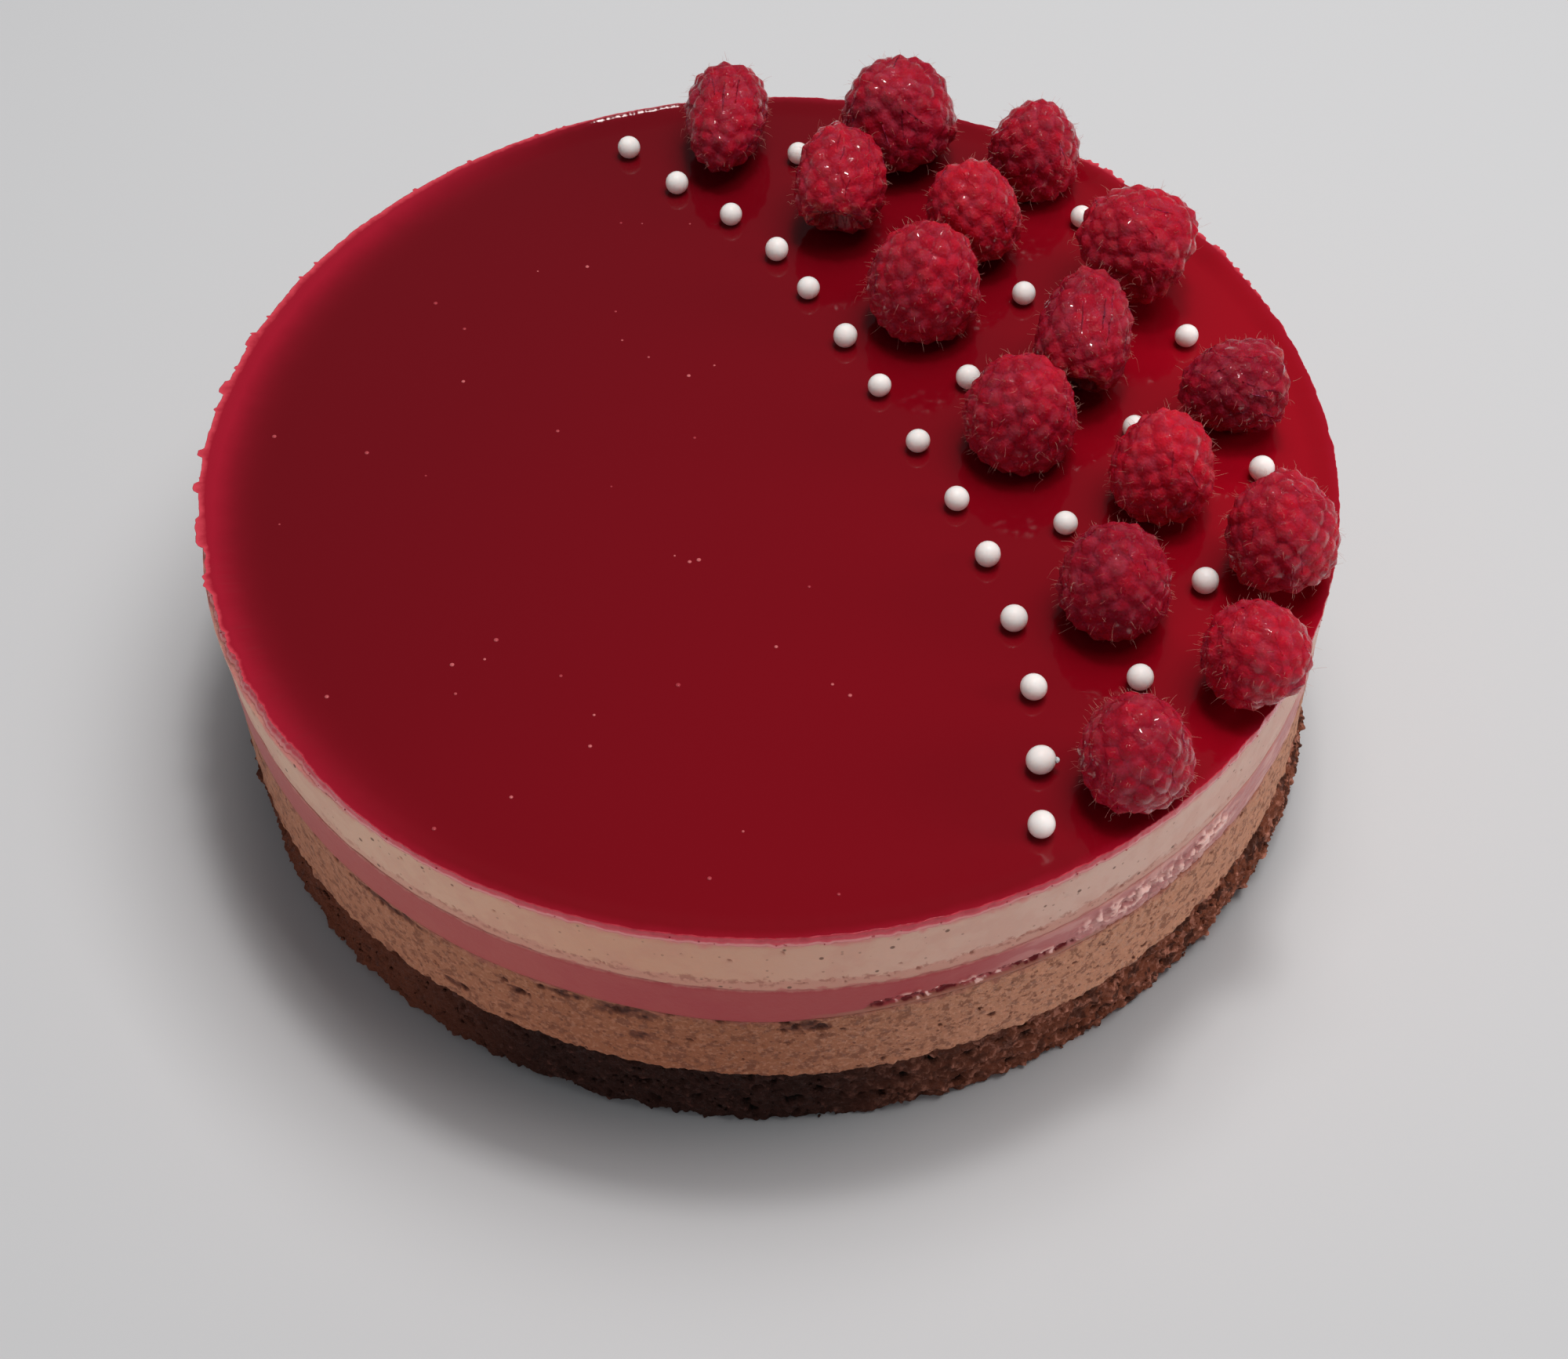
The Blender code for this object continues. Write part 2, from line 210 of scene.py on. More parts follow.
class Graph:
    """The node tree of one material, and the ways to add nodes to it."""

    def __init__(self, name: str, ground: Colour) -> None:
        """Starts a material that has only its shader and the colour that others are laid over."""
        self.material = bpy.data.materials.new(name)
        self.material.use_nodes = True
        self.tree = self.material.node_tree
        self.shader = self.tree.nodes["Principled BSDF"]
        self.base: Value | Colour = ground

    def feed(self, socket: bpy.types.NodeSocket, value: object) -> None:
        """Links a value to a socket, or sets a number, a colour or a vector on it."""
        if isinstance(value, Value):
            self.tree.links.new(value.socket, socket)
        elif socket.type == "RGBA":
            socket.default_value = (*value, 1.0)
        else:
            socket.default_value = value

    def node(self, kind: str, settings: dict | None = None, values: dict | None = None) -> bpy.types.Node:
        """Adds any node.

        Args:
            kind: The node's type.
            settings: Its own properties, which are set first.
            values: Numbers, colours or links for its inputs, by name or by number.

        Returns:
            The new node.
        """
        node = self.tree.nodes.new(kind)
        for key, value in (settings or {}).items():
            setattr(node, key, value)
        for key, value in (values or {}).items():
            self.feed(node.inputs[key], value)
        return node

    def output(
        self, kind: str, socket: int | str, settings: dict | None = None, values: dict | None = None
    ) -> Value:
        """One output of a new node, whose other arguments are those of node."""
        return Value(self, self.node(kind, settings, values).outputs[socket])

    def math(self, operation: str, first: Value | float, second: Value | float) -> Value:
        """The result of one Math node."""
        return self.output("ShaderNodeMath", 0, {"operation": operation}, {0: first, 1: second})

    def place(self, stretch: Triple = (1.0, 1.0, 1.0)) -> Value:
        """Object coordinates, each multiplied by a number."""
        place = self.output("ShaderNodeTexCoord", "Object")
        if stretch == (1.0, 1.0, 1.0):
            return place
        return self.output("ShaderNodeVectorMath", 0, {"operation": "MULTIPLY"}, {0: place, 1: stretch})

    def height(self) -> Value:
        """Height above the cake's foot."""
        return self.output("ShaderNodeSeparateXYZ", "Z", values={0: self.place()})

    def radius(self) -> Value:
        """Distance from the cake's upright middle line."""
        flat = self.place((1.0, 1.0, 0.0))
        return self.output("ShaderNodeVectorMath", "Value", {"operation": "LENGTH"}, {0: flat})

    def toward(self, side: Direction) -> Value:
        """Distance from the middle line towards one side, negative behind it."""
        values = {0: self.place(), 1: on_side(side.angle, 1.0, 0.0)}
        return self.output("ShaderNodeVectorMath", "Value", {"operation": "DOT_PRODUCT"}, values)

    def band(self, value: Value, low: float, high: float) -> Value:
        """Rises softly from 0 at low to 1 at high, or falls where low is the larger."""
        values = {"Value": value, "From Min": low, "From Max": high}
        return self.output("ShaderNodeMapRange", "Result", {"interpolation_type": "SMOOTHSTEP"}, values)

    def side(self, side: Direction, low: float, high: float) -> Value:
        """Rises from 0 to 1 between two distances towards one side, in millimetres."""
        return self.band(self.toward(side), low * MM, high * MM)

    def noise(self, size: float, detail: float, stretch: Triple = (1.0, 1.0, 1.0)) -> Value:
        """Cloudy noise around 0.5, whose features have a size in millimetres."""
        scale = 1.0 / (size * MM)
        values = {"Vector": self.place(stretch), "Scale": scale, "Detail": detail, "Roughness": 0.55}
        return self.output("ShaderNodeTexNoise", 0, values=values)

    def clouds(self, size: float, detail: float, low: float, high: float) -> Value:
        """Patches of noise: 0 where it is under low, 1 where it is over high."""
        return self.band(self.noise(size, detail), low, high)

    def specks(self, spacing: float, size: float, share: float) -> Value:
        """Round specks: 1 inside, 0 outside.

        Args:
            spacing: The usual distance between two places for a speck, in millimetres.
            size: A speck's radius over the spacing.
            share: The share of the places that have one.

        Returns:
            The mask.
        """
        values = {"Vector": self.place(), "Scale": 1.0 / (spacing * MM)}
        cells = self.node("ShaderNodeTexVoronoi", values=values)
        draw = self.output("ShaderNodeSeparateColor", 0, values={0: Value(self, cells.outputs["Color"])})
        chosen = self.math("LESS_THAN", draw, share)
        return chosen * (1.0 - self.band(Value(self, cells.outputs["Distance"]), 0.6 * size, size))

    def attribute(self, name: str) -> Value:
        """A number stored on the mesh's points."""
        return self.output("ShaderNodeAttribute", "Fac", {"attribute_name": name})

    def blend(self, factor: Value, first: Value | Colour, second: Value | Colour) -> Value:
        """A colour between two others."""
        return self.output("ShaderNodeMix", 2, {"data_type": "RGBA"}, {0: factor, 6: first, 7: second})

    def tint(self, factor: Value, colour: Value | Colour) -> None:
        """Lays a colour over the ones before it."""
        self.base = self.blend(factor, self.base, colour)

    def emboss(self, height: Value, depth: float, strength: float) -> None:
        """Lets a height of 0 to 1 tilt the surface as relief of a depth in millimetres would."""
        values = {"Height": height, "Distance": depth * MM, "Strength": strength}
        self.set(Normal=self.output("ShaderNodeBump", 0, values=values))

    def set(self, **values: object) -> None:
        """Feeds the shader's own sockets, whose names have _ for each space."""
        for key, value in values.items():
            self.feed(self.shader.inputs[key.replace("_", " ")], value)


@dataclass(frozen=True)
class Finish:
    """A surface: constants of its shader here, and what changes over it in paint."""

    name: str
    ground: Colour  # the colour that all the others are laid over
    roughness: float = 0.5
    ior: float = 1.4
    coat_roughness: float = 0.1
    subsurface: float = 0.0
    bleed: Colour = (1.0, 0.3, 0.2)  # how far light spreads in the flesh, by colour
    bleed_scale: float = 2.0 * MM

    def make(self) -> bpy.types.Material:
        """Builds the material."""
        graph = Graph(self.name, self.ground)
        graph.set(Roughness=self.roughness, IOR=self.ior, Coat_Roughness=self.coat_roughness)
        graph.set(Subsurface_Weight=self.subsurface, Subsurface_Radius=self.bleed)
        graph.set(Subsurface_Scale=self.bleed_scale)
        self.paint(graph)
        graph.set(Base_Color=graph.base)
        return graph.material

    def paint(self, graph: Graph) -> None:
        """Adds what changes over the surface, which for a plain one is nothing."""


@dataclass(frozen=True)
class PatchyFinish(Finish):
    """A surface that drifts between two colours."""

    other: Colour = (1.0, 1.0, 1.0)
    patch: float = 3.0  # millimetres

    def paint(self, graph: Graph) -> None:
        """Lays the second colour over the first in soft patches."""
        graph.tint(graph.clouds(self.patch, 1.0, 0.4, 0.6), self.other)


# ---------------------------------------------------------------------------------------------
# Meshes and pieces
# ---------------------------------------------------------------------------------------------


def turned(rings: list[Ring], segments: int) -> bmesh.types.BMesh:
    """A closed round solid. Its first and last rings are points on the middle line.

    Args:
        rings: One function for each row, from the foot round the side to the top.
        segments: How many steps the full turn has.

    Returns:
        The mesh, with point layers named cavity and level.
    """
    bm = bmesh.new()
    rows = len(rings) - 3  # steps between the two caps
    bmesh.ops.create_cone(
        bm, cap_ends=True, cap_tris=True, segments=segments, radius1=1.0, radius2=1.0, depth=rows
    )
    uprights = [edge for edge in bm.edges if abs(edge.verts[0].co.z - edge.verts[1].co.z) > 0.5]
    bmesh.ops.subdivide_edges(bm, edges=uprights, cuts=rows - 1)
    cavity = bm.verts.layers.float.new("cavity")
    level = bm.verts.layers.float.new("level")
    for vert in bm.verts:
        row = round(vert.co.z + 0.5 * rows) + 1
        if vert.co.xy.length < 0.5:  # the middle of a cap
            row = 0 if vert.co.z < 0 else len(rings) - 1
        angle = math.atan2(vert.co.y, vert.co.x)
        radius, height, vert[cavity], vert[level] = rings[row](angle)
        vert.co = on_side(angle, radius, height)
    return bm


def as_mesh(name: str, bm: bmesh.types.BMesh) -> bpy.types.Mesh:
    """Makes a bmesh, which is freed, a mesh."""
    mesh = bpy.data.meshes.new(name)
    bm.to_mesh(mesh)
    bm.free()
    return mesh


def add_object(name: str, data: bpy.types.ID) -> bpy.types.Object:
    """Puts a mesh, a lamp or any other data into the scene."""
    thing = bpy.data.objects.new(name, data)
    bpy.context.scene.collection.objects.link(thing)
    return thing


def add_piece(
    name: str, shape: bmesh.types.BMesh | bpy.types.Mesh, finish: bpy.types.Material,
    stands_for: Iterable[str] = (),
) -> bpy.types.Object:
    """Puts a finished mesh into the scene as one piece of the cake.

    Args:
        name: The piece's name.
        shape: A bmesh, which is freed, or a mesh.
        finish: Its material.
        stands_for: The solids that it replaces.

    Returns:
        The new object.
    """
    mesh = as_mesh(name, shape) if isinstance(shape, bmesh.types.BMesh) else shape
    mesh.materials.clear()
    mesh.materials.append(finish)
    mesh.shade_smooth()
    piece = add_object(name, mesh)
    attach(piece, "root")
    if stands_for:
        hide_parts(*stands_for)
    LOG.info("%s: %d faces", name, len(mesh.polygons))
    return piece


def inward_hit(tree: BVHTree, angle: float, height: float) -> Vector | None:
    """Where a level ray from outside towards the middle line first meets a surface."""
    start = on_side(angle, FAR_OUT, height)
    return tree.ray_cast(start, Vector((-start.x, -start.y, 0.0)))[0]


class Form:
    """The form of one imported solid, read with rays."""

    def __init__(self, node: str) -> None:
        """Reads the solid's box and mesh."""
        self.low, self.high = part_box(node)
        bm = bmesh.new()
        bm.from_mesh(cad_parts[node].data)
        self.tree = BVHTree.FromBMesh(bm)
        bm.free()

    def reach(self, angle: float, height: float) -> float:
        """Radius of the solid's outside at an angle and a height."""
        return inward_hit(self.tree, angle, height).xy.length

    def head(self, angle: float, radius: float) -> float:
        """Height of the solid's top at an angle and a radius."""
        return self.tree.ray_cast(on_side(angle, radius, FAR_OUT), -UP)[0].z

    def foot(self, angle: float, radius: float) -> float:
        """Height of the solid's underside at an angle and a radius."""
        return self.tree.ray_cast(on_side(angle, radius, -FAR_OUT), UP)[0].z


# ---------------------------------------------------------------------------------------------
# The four soft layers
# ---------------------------------------------------------------------------------------------


@dataclass(frozen=True)
class SpongeFinish(Finish):
    """Dark cocoa crumb, with painted light that reddens and brightens its crests and its right and lower left
    sides, and painted shade in its open holes.
    """

    name: str = "chocolate_sponge"
    ground: Colour = (0.024, 0.0095, 0.0075)
    ior: float = 1.25
    # painted light: the raised crumbs catch it
    crest: Colour = (0.075, 0.0290, 0.0230)
    # painted light on the right and lower left sides
    lit_side: Colour = (0.170, 0.0490, 0.0265)
    # painted light, the brightest, on the crests and patches at the right
    lit_right: Colour = (0.580, 0.2350, 0.1650)
    # painted shade in the open holes
    hole: Colour = (0.004, 0.002, 0.0015)

    def paint(self, graph: Graph) -> None:
        """Paints light on the crests and the lit sides, and shade into the open holes."""
        right = graph.side(Direction.RIGHT, 55.0, 106.0)
        left = graph.side(Direction.LOWER_LEFT, 80.0, 108.0)
        depth = graph.attribute("cavity")
        # painted light on the right and lower left sides
        graph.tint(right + 0.6 * left, self.lit_side)
        mottle = graph.clouds(1.5, 4.0, 0.48, 0.62)
        # painted light on the raised crumbs, brightest at the right
        raised = graph.band(depth + 0.9 * graph.noise(0.8, 2.0), 0.30, -0.45)
        high = graph.blend(right, self.crest, self.lit_right)
        graph.tint(0.60 * mottle * raised + 0.25 * raised + 0.15 * mottle, high)
        # more painted light in patches at the right
        graph.tint(0.50 * right * graph.clouds(2.2, 4.0, 0.53, 0.62), self.lit_right)
        graph.tint(0.75 * right * graph.clouds(3.5, 3.0, 0.50, 0.42), self.ground)
        # painted shade in the open holes
        graph.tint(graph.band(depth, 0.10, 0.60), self.hole)
        graph.set(Roughness=0.95 - 0.45 * graph.clouds(1.1, 2.0, 0.54, 0.62))
        graph.emboss(graph.noise(0.5, 3.0), 0.5, 0.9)


@dataclass(frozen=True)
class PralineFinish(Finish):
    """Tan mousse with brown blotches, painted light on its right and lower left sides, painted shade in its
    pits, and rough and wet at the right.
    """

    name: str = "praline_mousse"
    ground: Colour = (0.290, 0.102, 0.052)
    ior: float = 1.3
    subsurface: float = 0.08
    # painted light on the right and lower left sides
    lit: Colour = (0.510, 0.235, 0.145)
    toast: Colour = (0.150, 0.050, 0.030)
    pale: Colour = (0.560, 0.260, 0.165)
    # painted shade in the deepest pits
    hole: Colour = (0.060, 0.019, 0.013)
    rose: Colour = (0.36, 0.115, 0.095)

    def paint(self, graph: Graph) -> None:
        """Mottles the mousse, paints light on its sides, tints its upper edge and paints shade into its pits.
        """
        right = graph.side(Direction.RIGHT, 45.0, 104.0)
        left = graph.side(Direction.LOWER_LEFT, 70.0, 108.0)
        depth = graph.attribute("cavity")
        # painted light on the right and lower left sides
        graph.tint(right + 0.4 * left, self.lit)
        graph.tint(0.60 * graph.clouds(2.0, 4.0, 0.50, 0.58), self.toast)
        # pale grains everywhere, and more at the right as painted glints
        graph.tint((0.30 + 0.45 * right) * graph.clouds(0.85, 2.0, 0.52, 0.62), self.pale)
        graph.tint(0.85 * graph.specks(1.5, 0.26, 0.30), self.toast)
        graph.tint(0.70 * graph.specks(1.0, 0.24, 0.30), self.toast)
        upper = graph.attribute("level") + 0.2 * graph.noise(3.0, 3.0)
        graph.tint(0.6 * graph.band(upper, 1.02, 1.12), self.rose)
        # painted shade in the pits and the torn patches
        graph.tint(graph.band(depth, 0.04, 0.35), self.toast)
        graph.tint(graph.band(depth, 0.35, 0.75), self.hole)
        wet = graph.side(Direction.CRACKED, 96.0, 107.0)
        graph.set(Roughness=0.70 - (0.15 + 0.40 * wet) * graph.clouds(1.2, 2.0, 0.54, 0.62))
        graph.emboss(graph.noise(0.9, 4.0), 0.45, 0.8)


@dataclass(frozen=True)
class RoseFinish(Finish):
    """Satin raspberry layer: cracked at the front right, smeared with cream beyond that, with painted shade
    in the crack and a painted highlight on its lip.
    """

    name: str = "rose_layer"
    ground: Colour = (0.360, 0.046, 0.053)
    ior: float = 1.35
    subsurface: float = 0.1
    pink: Colour = (0.400, 0.082, 0.072)
    mauve: Colour = (0.50, 0.215, 0.205)
    streaked: Colour = (0.64, 0.340, 0.300)
    # cream smeared on the ledge's lumps, and a painted highlight on the crack's lip
    smear_and_highlight: Colour = (0.92, 0.560, 0.500)
    cream: Colour = (0.56, 0.240, 0.200)
    # darker wet red with painted shade, in the crack and the ledge's hollows
    wet: Colour = (0.150, 0.012, 0.015)
    tan: Colour = (0.330, 0.130, 0.085)

    def paint(self, graph: Graph) -> None:
        """Clouds the layer, smears its right side, darkens the crack and the ledge's hollows with wet red and
        painted shade, lays smeared cream and a painted highlight on the lumps and the crack's lip, and covers
        its foot with mousse.
        """
        left = graph.side(Direction.LOWER_LEFT, 50.0, 108.0)
        right = graph.side(Direction.RIGHT, 74.0, 105.0)
        cracked = graph.side(Direction.CRACKED, 104.5, 107.5)
        level = graph.attribute("level")
        depth = graph.attribute("cavity")
        graph.tint(0.85 * left + 0.25 * graph.clouds(12.0, 3.0, 0.40, 0.62), self.pink)
        graph.tint(0.9 * right, self.mauve)
        streak = graph.band(graph.noise(9.0, 3.0, (1.0, 1.0, 3.5)), 0.46, 0.60)
        graph.tint(0.7 * right * streak, self.streaked)
        upper = level + 0.12 * (graph.noise(2.0, 3.0) - 0.5)
        graph.tint(0.8 * graph.band(upper, 0.93, 1.01), self.cream)
        lower = level + 0.16 * (graph.noise(2.5, 3.0) - 0.5)
        graph.tint(0.85 * cracked * graph.band(lower, 0.18, 0.12), self.tan)
        # smeared cream on the lumps, painted highlight on the crack's lip
        graph.tint(0.9 * graph.band(depth, -0.08, -0.62), self.smear_and_highlight)
        # painted shade over the darker wet red in the crack and the hollows
        torn = graph.band(depth, 0.1, 0.7)
        graph.tint(torn, self.wet)
        graph.set(Roughness=0.45 - 0.25 * torn - 0.22 * graph.band(depth, -0.10, -0.60))
        graph.emboss(graph.noise(2.0, 4.0), 0.25, 0.5)


@dataclass(frozen=True)
class CreamFinish(Finish):
    """Beige cream with fine dark specks, and a pinkish band above its lower edge; painted light brightens its
    right and lower left sides, and painted shade darkens its pits.
    """

    name: str = "vanilla_cream"
    ground: Colour = (0.600, 0.315, 0.215)
    ior: float = 1.3
    subsurface: float = 0.12
    # cooler at the right, and lighter there with painted light
    cool_and_lit: Colour = (0.650, 0.420, 0.350)
    # lighter at the lower left with painted light
    left: Colour = (0.640, 0.395, 0.290)
    blush: Colour = (0.540, 0.240, 0.185)
    brown: Colour = (0.330, 0.120, 0.085)
    rose: Colour = (0.46, 0.130, 0.115)
    speck: Colour = (0.13, 0.060, 0.040)
    jam: Colour = (0.64, 0.210, 0.200)

    def paint(self, graph: Graph) -> None:
        """Specks the cream, tints both its edges, paints light on its right and lower left sides and shade
        into its pits.
        """
        front = 0.30 + 0.70 * graph.side(Direction.FRONT, 64.0, 102.0)
        rough = graph.noise(3.0, 4.0)
        level = graph.attribute("level") + 0.30 * (rough - 0.5)
        # painted light on the right and lower left sides
        graph.tint(graph.side(Direction.RIGHT, 30.0, 105.0), self.cool_and_lit)
        graph.tint(graph.side(Direction.LOWER_LEFT, 70.0, 106.0), self.left)
        graph.tint(0.25 * graph.clouds(7.0, 3.0, 0.44, 0.62), self.blush)
        graph.tint(0.75 * front * graph.band(level, 0.26, 0.20), self.blush)
        row = graph.band(level, 0.12, 0.18) * graph.band(level, 0.30, 0.23)
        graph.tint(0.65 * front * row * graph.clouds(1.7, 3.0, 0.50, 0.58), self.brown)
        graph.tint(0.85 * front * graph.band(level, 0.05, 0.00), self.rose)
        graph.tint(0.85 * graph.band(level, 0.90, 1.02), self.jam)
        graph.tint(0.85 * graph.specks(3.0, 0.18, 0.34), self.speck)
        graph.tint(0.45 * graph.specks(1.6, 0.20, 0.30), self.speck)
        # painted shade in the pits
        graph.tint(0.7 * graph.band(graph.attribute("cavity"), 0.02, 0.5), self.brown)
        graph.set(Roughness=0.45 + 0.15 * rough)
        graph.emboss(graph.noise(1.5, 4.0), 0.25, 0.5)


@dataclass
class Layer:
    """A soft round layer whose side shows, built round the form of its solid."""

    node: str
    finish: Finish
    rows: int
    segments: int = 1900
    edge: float = 0.2 * MM  # how far the arrises of the side are rounded in
    flush: float = 0.8  # how far the side is trimmed flush with the others, from 0 to 1
    trimmed: float = 109.5 * MM  # radius of the flush side

    def relief(self, angle: float, place: Vector, share: float) -> tuple[float, float]:
        """The fine shape of the side.

        Args:
            angle: The angle round the cake.
            place: The point on the solid's side.
            share: How far up the layer it lies, from 0 to 1.

        Returns:
            The step outwards in metres, and how much of a cavity the point is.
        """
        raise NotImplementedError

    def rings(self) -> list[Ring]:
        """The rows of the layer, from the middle of its foot to the middle of its head."""
        form = Form(self.node)
        inner = 0.94 * form.high.y

        @cache
        def seams(angle: float) -> tuple[float, float]:
            """Heights of the foot and the head at an angle."""
            foot = max(0.0, form.foot(angle, inner) - 0.5 * LAYER_GAP)
            return foot, form.head(angle, inner) + 0.5 * LAYER_GAP

        def flat(radius: float, top: int, angle: float) -> Row:
            """A point on the foot, or on the head where top is 1."""
            return radius, seams(angle)[top], 0.0, float(top)

        def side(share: float, angle: float) -> Row:
            """A point on the side."""
            foot, head = seams(angle)
            height = foot + share * (head - foot)
            safe = min(head - LAYER_GAP, max(foot + LAYER_GAP, height))
            reach = form.reach(angle, safe)
            reach += self.flush * (self.trimmed - reach)
            step, cavity = self.relief(angle, on_side(angle, reach, height), share)
            rounding = self.edge * max(0.0, abs(2.0 * share - 1.0) - 0.85) / 0.15
            return reach + step - rounding, height, cavity, share

        sides = [partial(side, row / self.rows) for row in range(self.rows + 1)]
        foot = [partial(flat, 0.0, 0), partial(flat, inner, 0)]
        head = [partial(flat, inner, 1), partial(flat, 0.0, 1)]
        return [*foot, *sides, *head]

    def build(self) -> bpy.types.Object:
        """Makes the layer's piece in place of its solid."""
        shape = turned(self.rings(), self.segments)
        return add_piece(f"{self.node}_side", shape, self.finish.make(), [self.node])


@dataclass
class Sponge(Layer):
    """Chocolate sponge with an open, torn crumb."""

    flush: float = 0.0
    crag: float = 0.9 * MM
    crumb: float = 0.65 * MM
    hole: float = 1.7 * MM

    def relief(self, angle: float, place: Vector, share: float) -> tuple[float, float]:
        """Crags, crumbs and open holes; the same Args and Returns as every layer."""
        flattened = stretched(place, 1.2)
        crags = fractal(flattened, 3.4, COARSE, 4)
        crumbs = pits(flattened, 1.9, 0.75, 0.60)
        large = pits(flattened, 3.7, 0.55, 0.55, 0.4)
        small = pits(flattened, 1.6, 0.40, 0.45, 0.9)
        raised = self.crag * crags + self.crumb * crumbs**0.6
        sunk = self.hole * large**0.7 + 0.5 * MM * small + 0.2 * MM
        # the second number drives painted shade in the holes and painted light on the raised crumbs and crags
        return raised - sunk, 0.9 * large + 0.5 * small - 0.8 * crumbs - 0.35 * crags


@dataclass(frozen=True)
class Scar:
    """One torn patch of pits on a layer's side: angles in degrees, heights in millimetres."""

    angle: float
    height: float
    half_turn: float
    half_height: float

    def depth(self, angle: float, place: Vector) -> float:
        """How deep inside the patch a point lies, from 0 to 1."""
        off = (math.degrees(angle) - self.angle + 180.0) % 360.0 - 180.0
        across = off / self.half_turn
        up = (place.z - self.height * MM) / (self.half_height * MM)
        return smooth(1.3 + 0.5 * wave(place, 2.0) - math.hypot(across, up), 0.0, 0.9)


@dataclass
class Praline(Layer):
    """Praline mousse with scattered bubbles and a few torn patches, most of them near its top."""

    swell: float = 0.10 * MM
    scars: tuple[Scar, ...] = (
        Scar(-105.0, 34.6, 4.0, 2.0),
        Scar(-110.5, 35.6, 3.5, 1.0),
        Scar(-104.0, 27.5, 0.9, 1.8),
        Scar(-88.0, 33.8, 2.8, 1.9),
        Scar(-116.0, 31.0, 1.2, 1.2),
        Scar(-131.0, 35.6, 5.5, 1.1),
        Scar(-124.0, 22.5, 2.4, 1.1),
        Scar(-158.0, 33.0, 4.0, 1.4),
        Scar(15.0, 30.0, 4.0, 1.6),
        Scar(70.0, 34.0, 5.0, 1.4),
        Scar(118.0, 26.0, 2.0, 1.6),
        Scar(160.0, 35.0, 5.0, 1.3),
    )

    def relief(self, angle: float, place: Vector, share: float) -> tuple[float, float]:
        """Bubbles, torn patches and a ragged lower edge; the same Args and Returns as every layer."""
        flattened = stretched(place, 1.3)
        patch = 0.5 + 0.9 * wave(place, 10.0)
        scar = max(one.depth(angle, place) for one in self.scars)
        large = pits(flattened, 2.6, 0.06 + 0.12 * patch + 0.80 * scar, 0.38 + 0.12 * scar)
        small = pits(flattened, 1.3, 0.18 + 0.30 * patch + 0.8 * scar, 0.42, 0.7)
        rough = 1.0 + 1.6 * window(angle, Direction.LEDGE, 50.0)
        grain = wave(place, 1.3) + 0.6 * wave(place, 0.6)
        ragged = fractal(stretched(place, 0.0), 2.6, COARSE, 3)
        skirt = (0.25 + 0.45 * ragged) * MM * (1.0 - smooth(share, 0.0, 0.11))
        outward = rough * (self.swell * wave(place, 6.0) + 0.08 * MM * grain) + skirt
        inward = 0.8 * MM * large**0.7 + 0.35 * MM * small + 0.35 * MM * scar
        # the torn patches darken with painted shade of their holes
        scar_shade = scar * (0.46 + 0.6 * grain)
        return outward - inward, min(1.0, large + (0.28 + 0.4 * scar) * small + max(0.0, scar_shade))


@dataclass
class Rose(Layer):
    """Raspberry layer, smooth but for a crack at the front right and the smeared ledge beyond."""

    tear: float = 1.0 * MM
    ledge: float = 0.8 * MM

    def relief(self, angle: float, place: Vector, share: float) -> tuple[float, float]:
        """Soft waves, the crack and the ledge; the same Args and Returns as every layer."""
        around = stretched(place, 0.0)
        ragged = fractal(around, 2.4, SOFT, 4)
        bits = fractal(place, 1.5, SOFT, 3)
        cracked = smooth(window(angle, Direction.CRACKED, 14.0), 0.12, 0.45)
        edge = cracked * (0.40 + 0.10 * ragged)
        foot = 0.13 + 0.07 * wave(around, 3.1)
        torn = smooth(share, foot - 0.03, foot + 0.05) * (1.0 - smooth(share, edge - 0.04, edge + 0.01))
        torn *= cracked
        hanging = smooth(wave(around, 5.5) + 0.5 * ragged, -0.12, 0.15)
        lip = cracked * hanging * bell(share - edge, 0.04, 0.04)
        smeared = window(angle, Direction.LEDGE, 14.0)
        lumps = smeared * smooth(bits + 0.7 * ragged, -0.20, 0.45) * bell(share - 0.60, 0.15 * ragged, 0.28)
        hollows = smeared * smooth(-bits - 0.3 * ragged, 0.05, 0.45) * (1.0 - smooth(share, 0.6, 0.9))
        streaks = fractal(stretched(place, 3.0), 5.0, SOFT, 3)
        right = window(angle, Direction.RIGHT, 34.0)
        raised = 0.5 * MM * lip + self.ledge * lumps + 0.25 * MM * right * streaks
        sunk = self.tear * torn * (0.75 - 0.5 * bits) + 0.4 * MM * hollows
        # above zero the cavity number paints shade in the crack and the hollows; below zero it paints the
        # smeared cream on the lumps and a highlight on the lip
        cavity = torn * (0.45 - 2.0 * bits) + 0.35 * hollows - 0.45 * lip - lumps
        return 0.12 * MM * wave(place, 9.0) + raised - sunk, cavity


@dataclass
class Cream(Layer):
    """Vanilla cream, nearly flat, with a few small pits and a row of them at its lower edge."""

    swell: float = 0.15 * MM

    def relief(self, angle: float, place: Vector, share: float) -> tuple[float, float]:
        """Faint waves and pits; the same Args and Returns as every layer."""
        row = bell(share, 0.20, 0.06) * window(angle, Direction.FRONT, 60.0)
        row *= smooth(wave(stretched(place, 0.0), 8.0), -0.25, 0.15)
        pit = pits(place, 1.8, 0.05 + 0.8 * row, 0.26 + 0.14 * row)
        bared = 0.7 * MM * window(angle, Direction.LOWER_LEFT, 28.0) * smooth(share, 0.4, 1.0)
        # the pits' depth, returned as the cavity number, paints shade into them
        return self.swell * fractal(place, 8.0, SOFT, 3) + bared - 0.45 * MM * pit**0.7, pit


# ---------------------------------------------------------------------------------------------
# The jelly glaze, its bubbles and the sugar pearls
# ---------------------------------------------------------------------------------------------


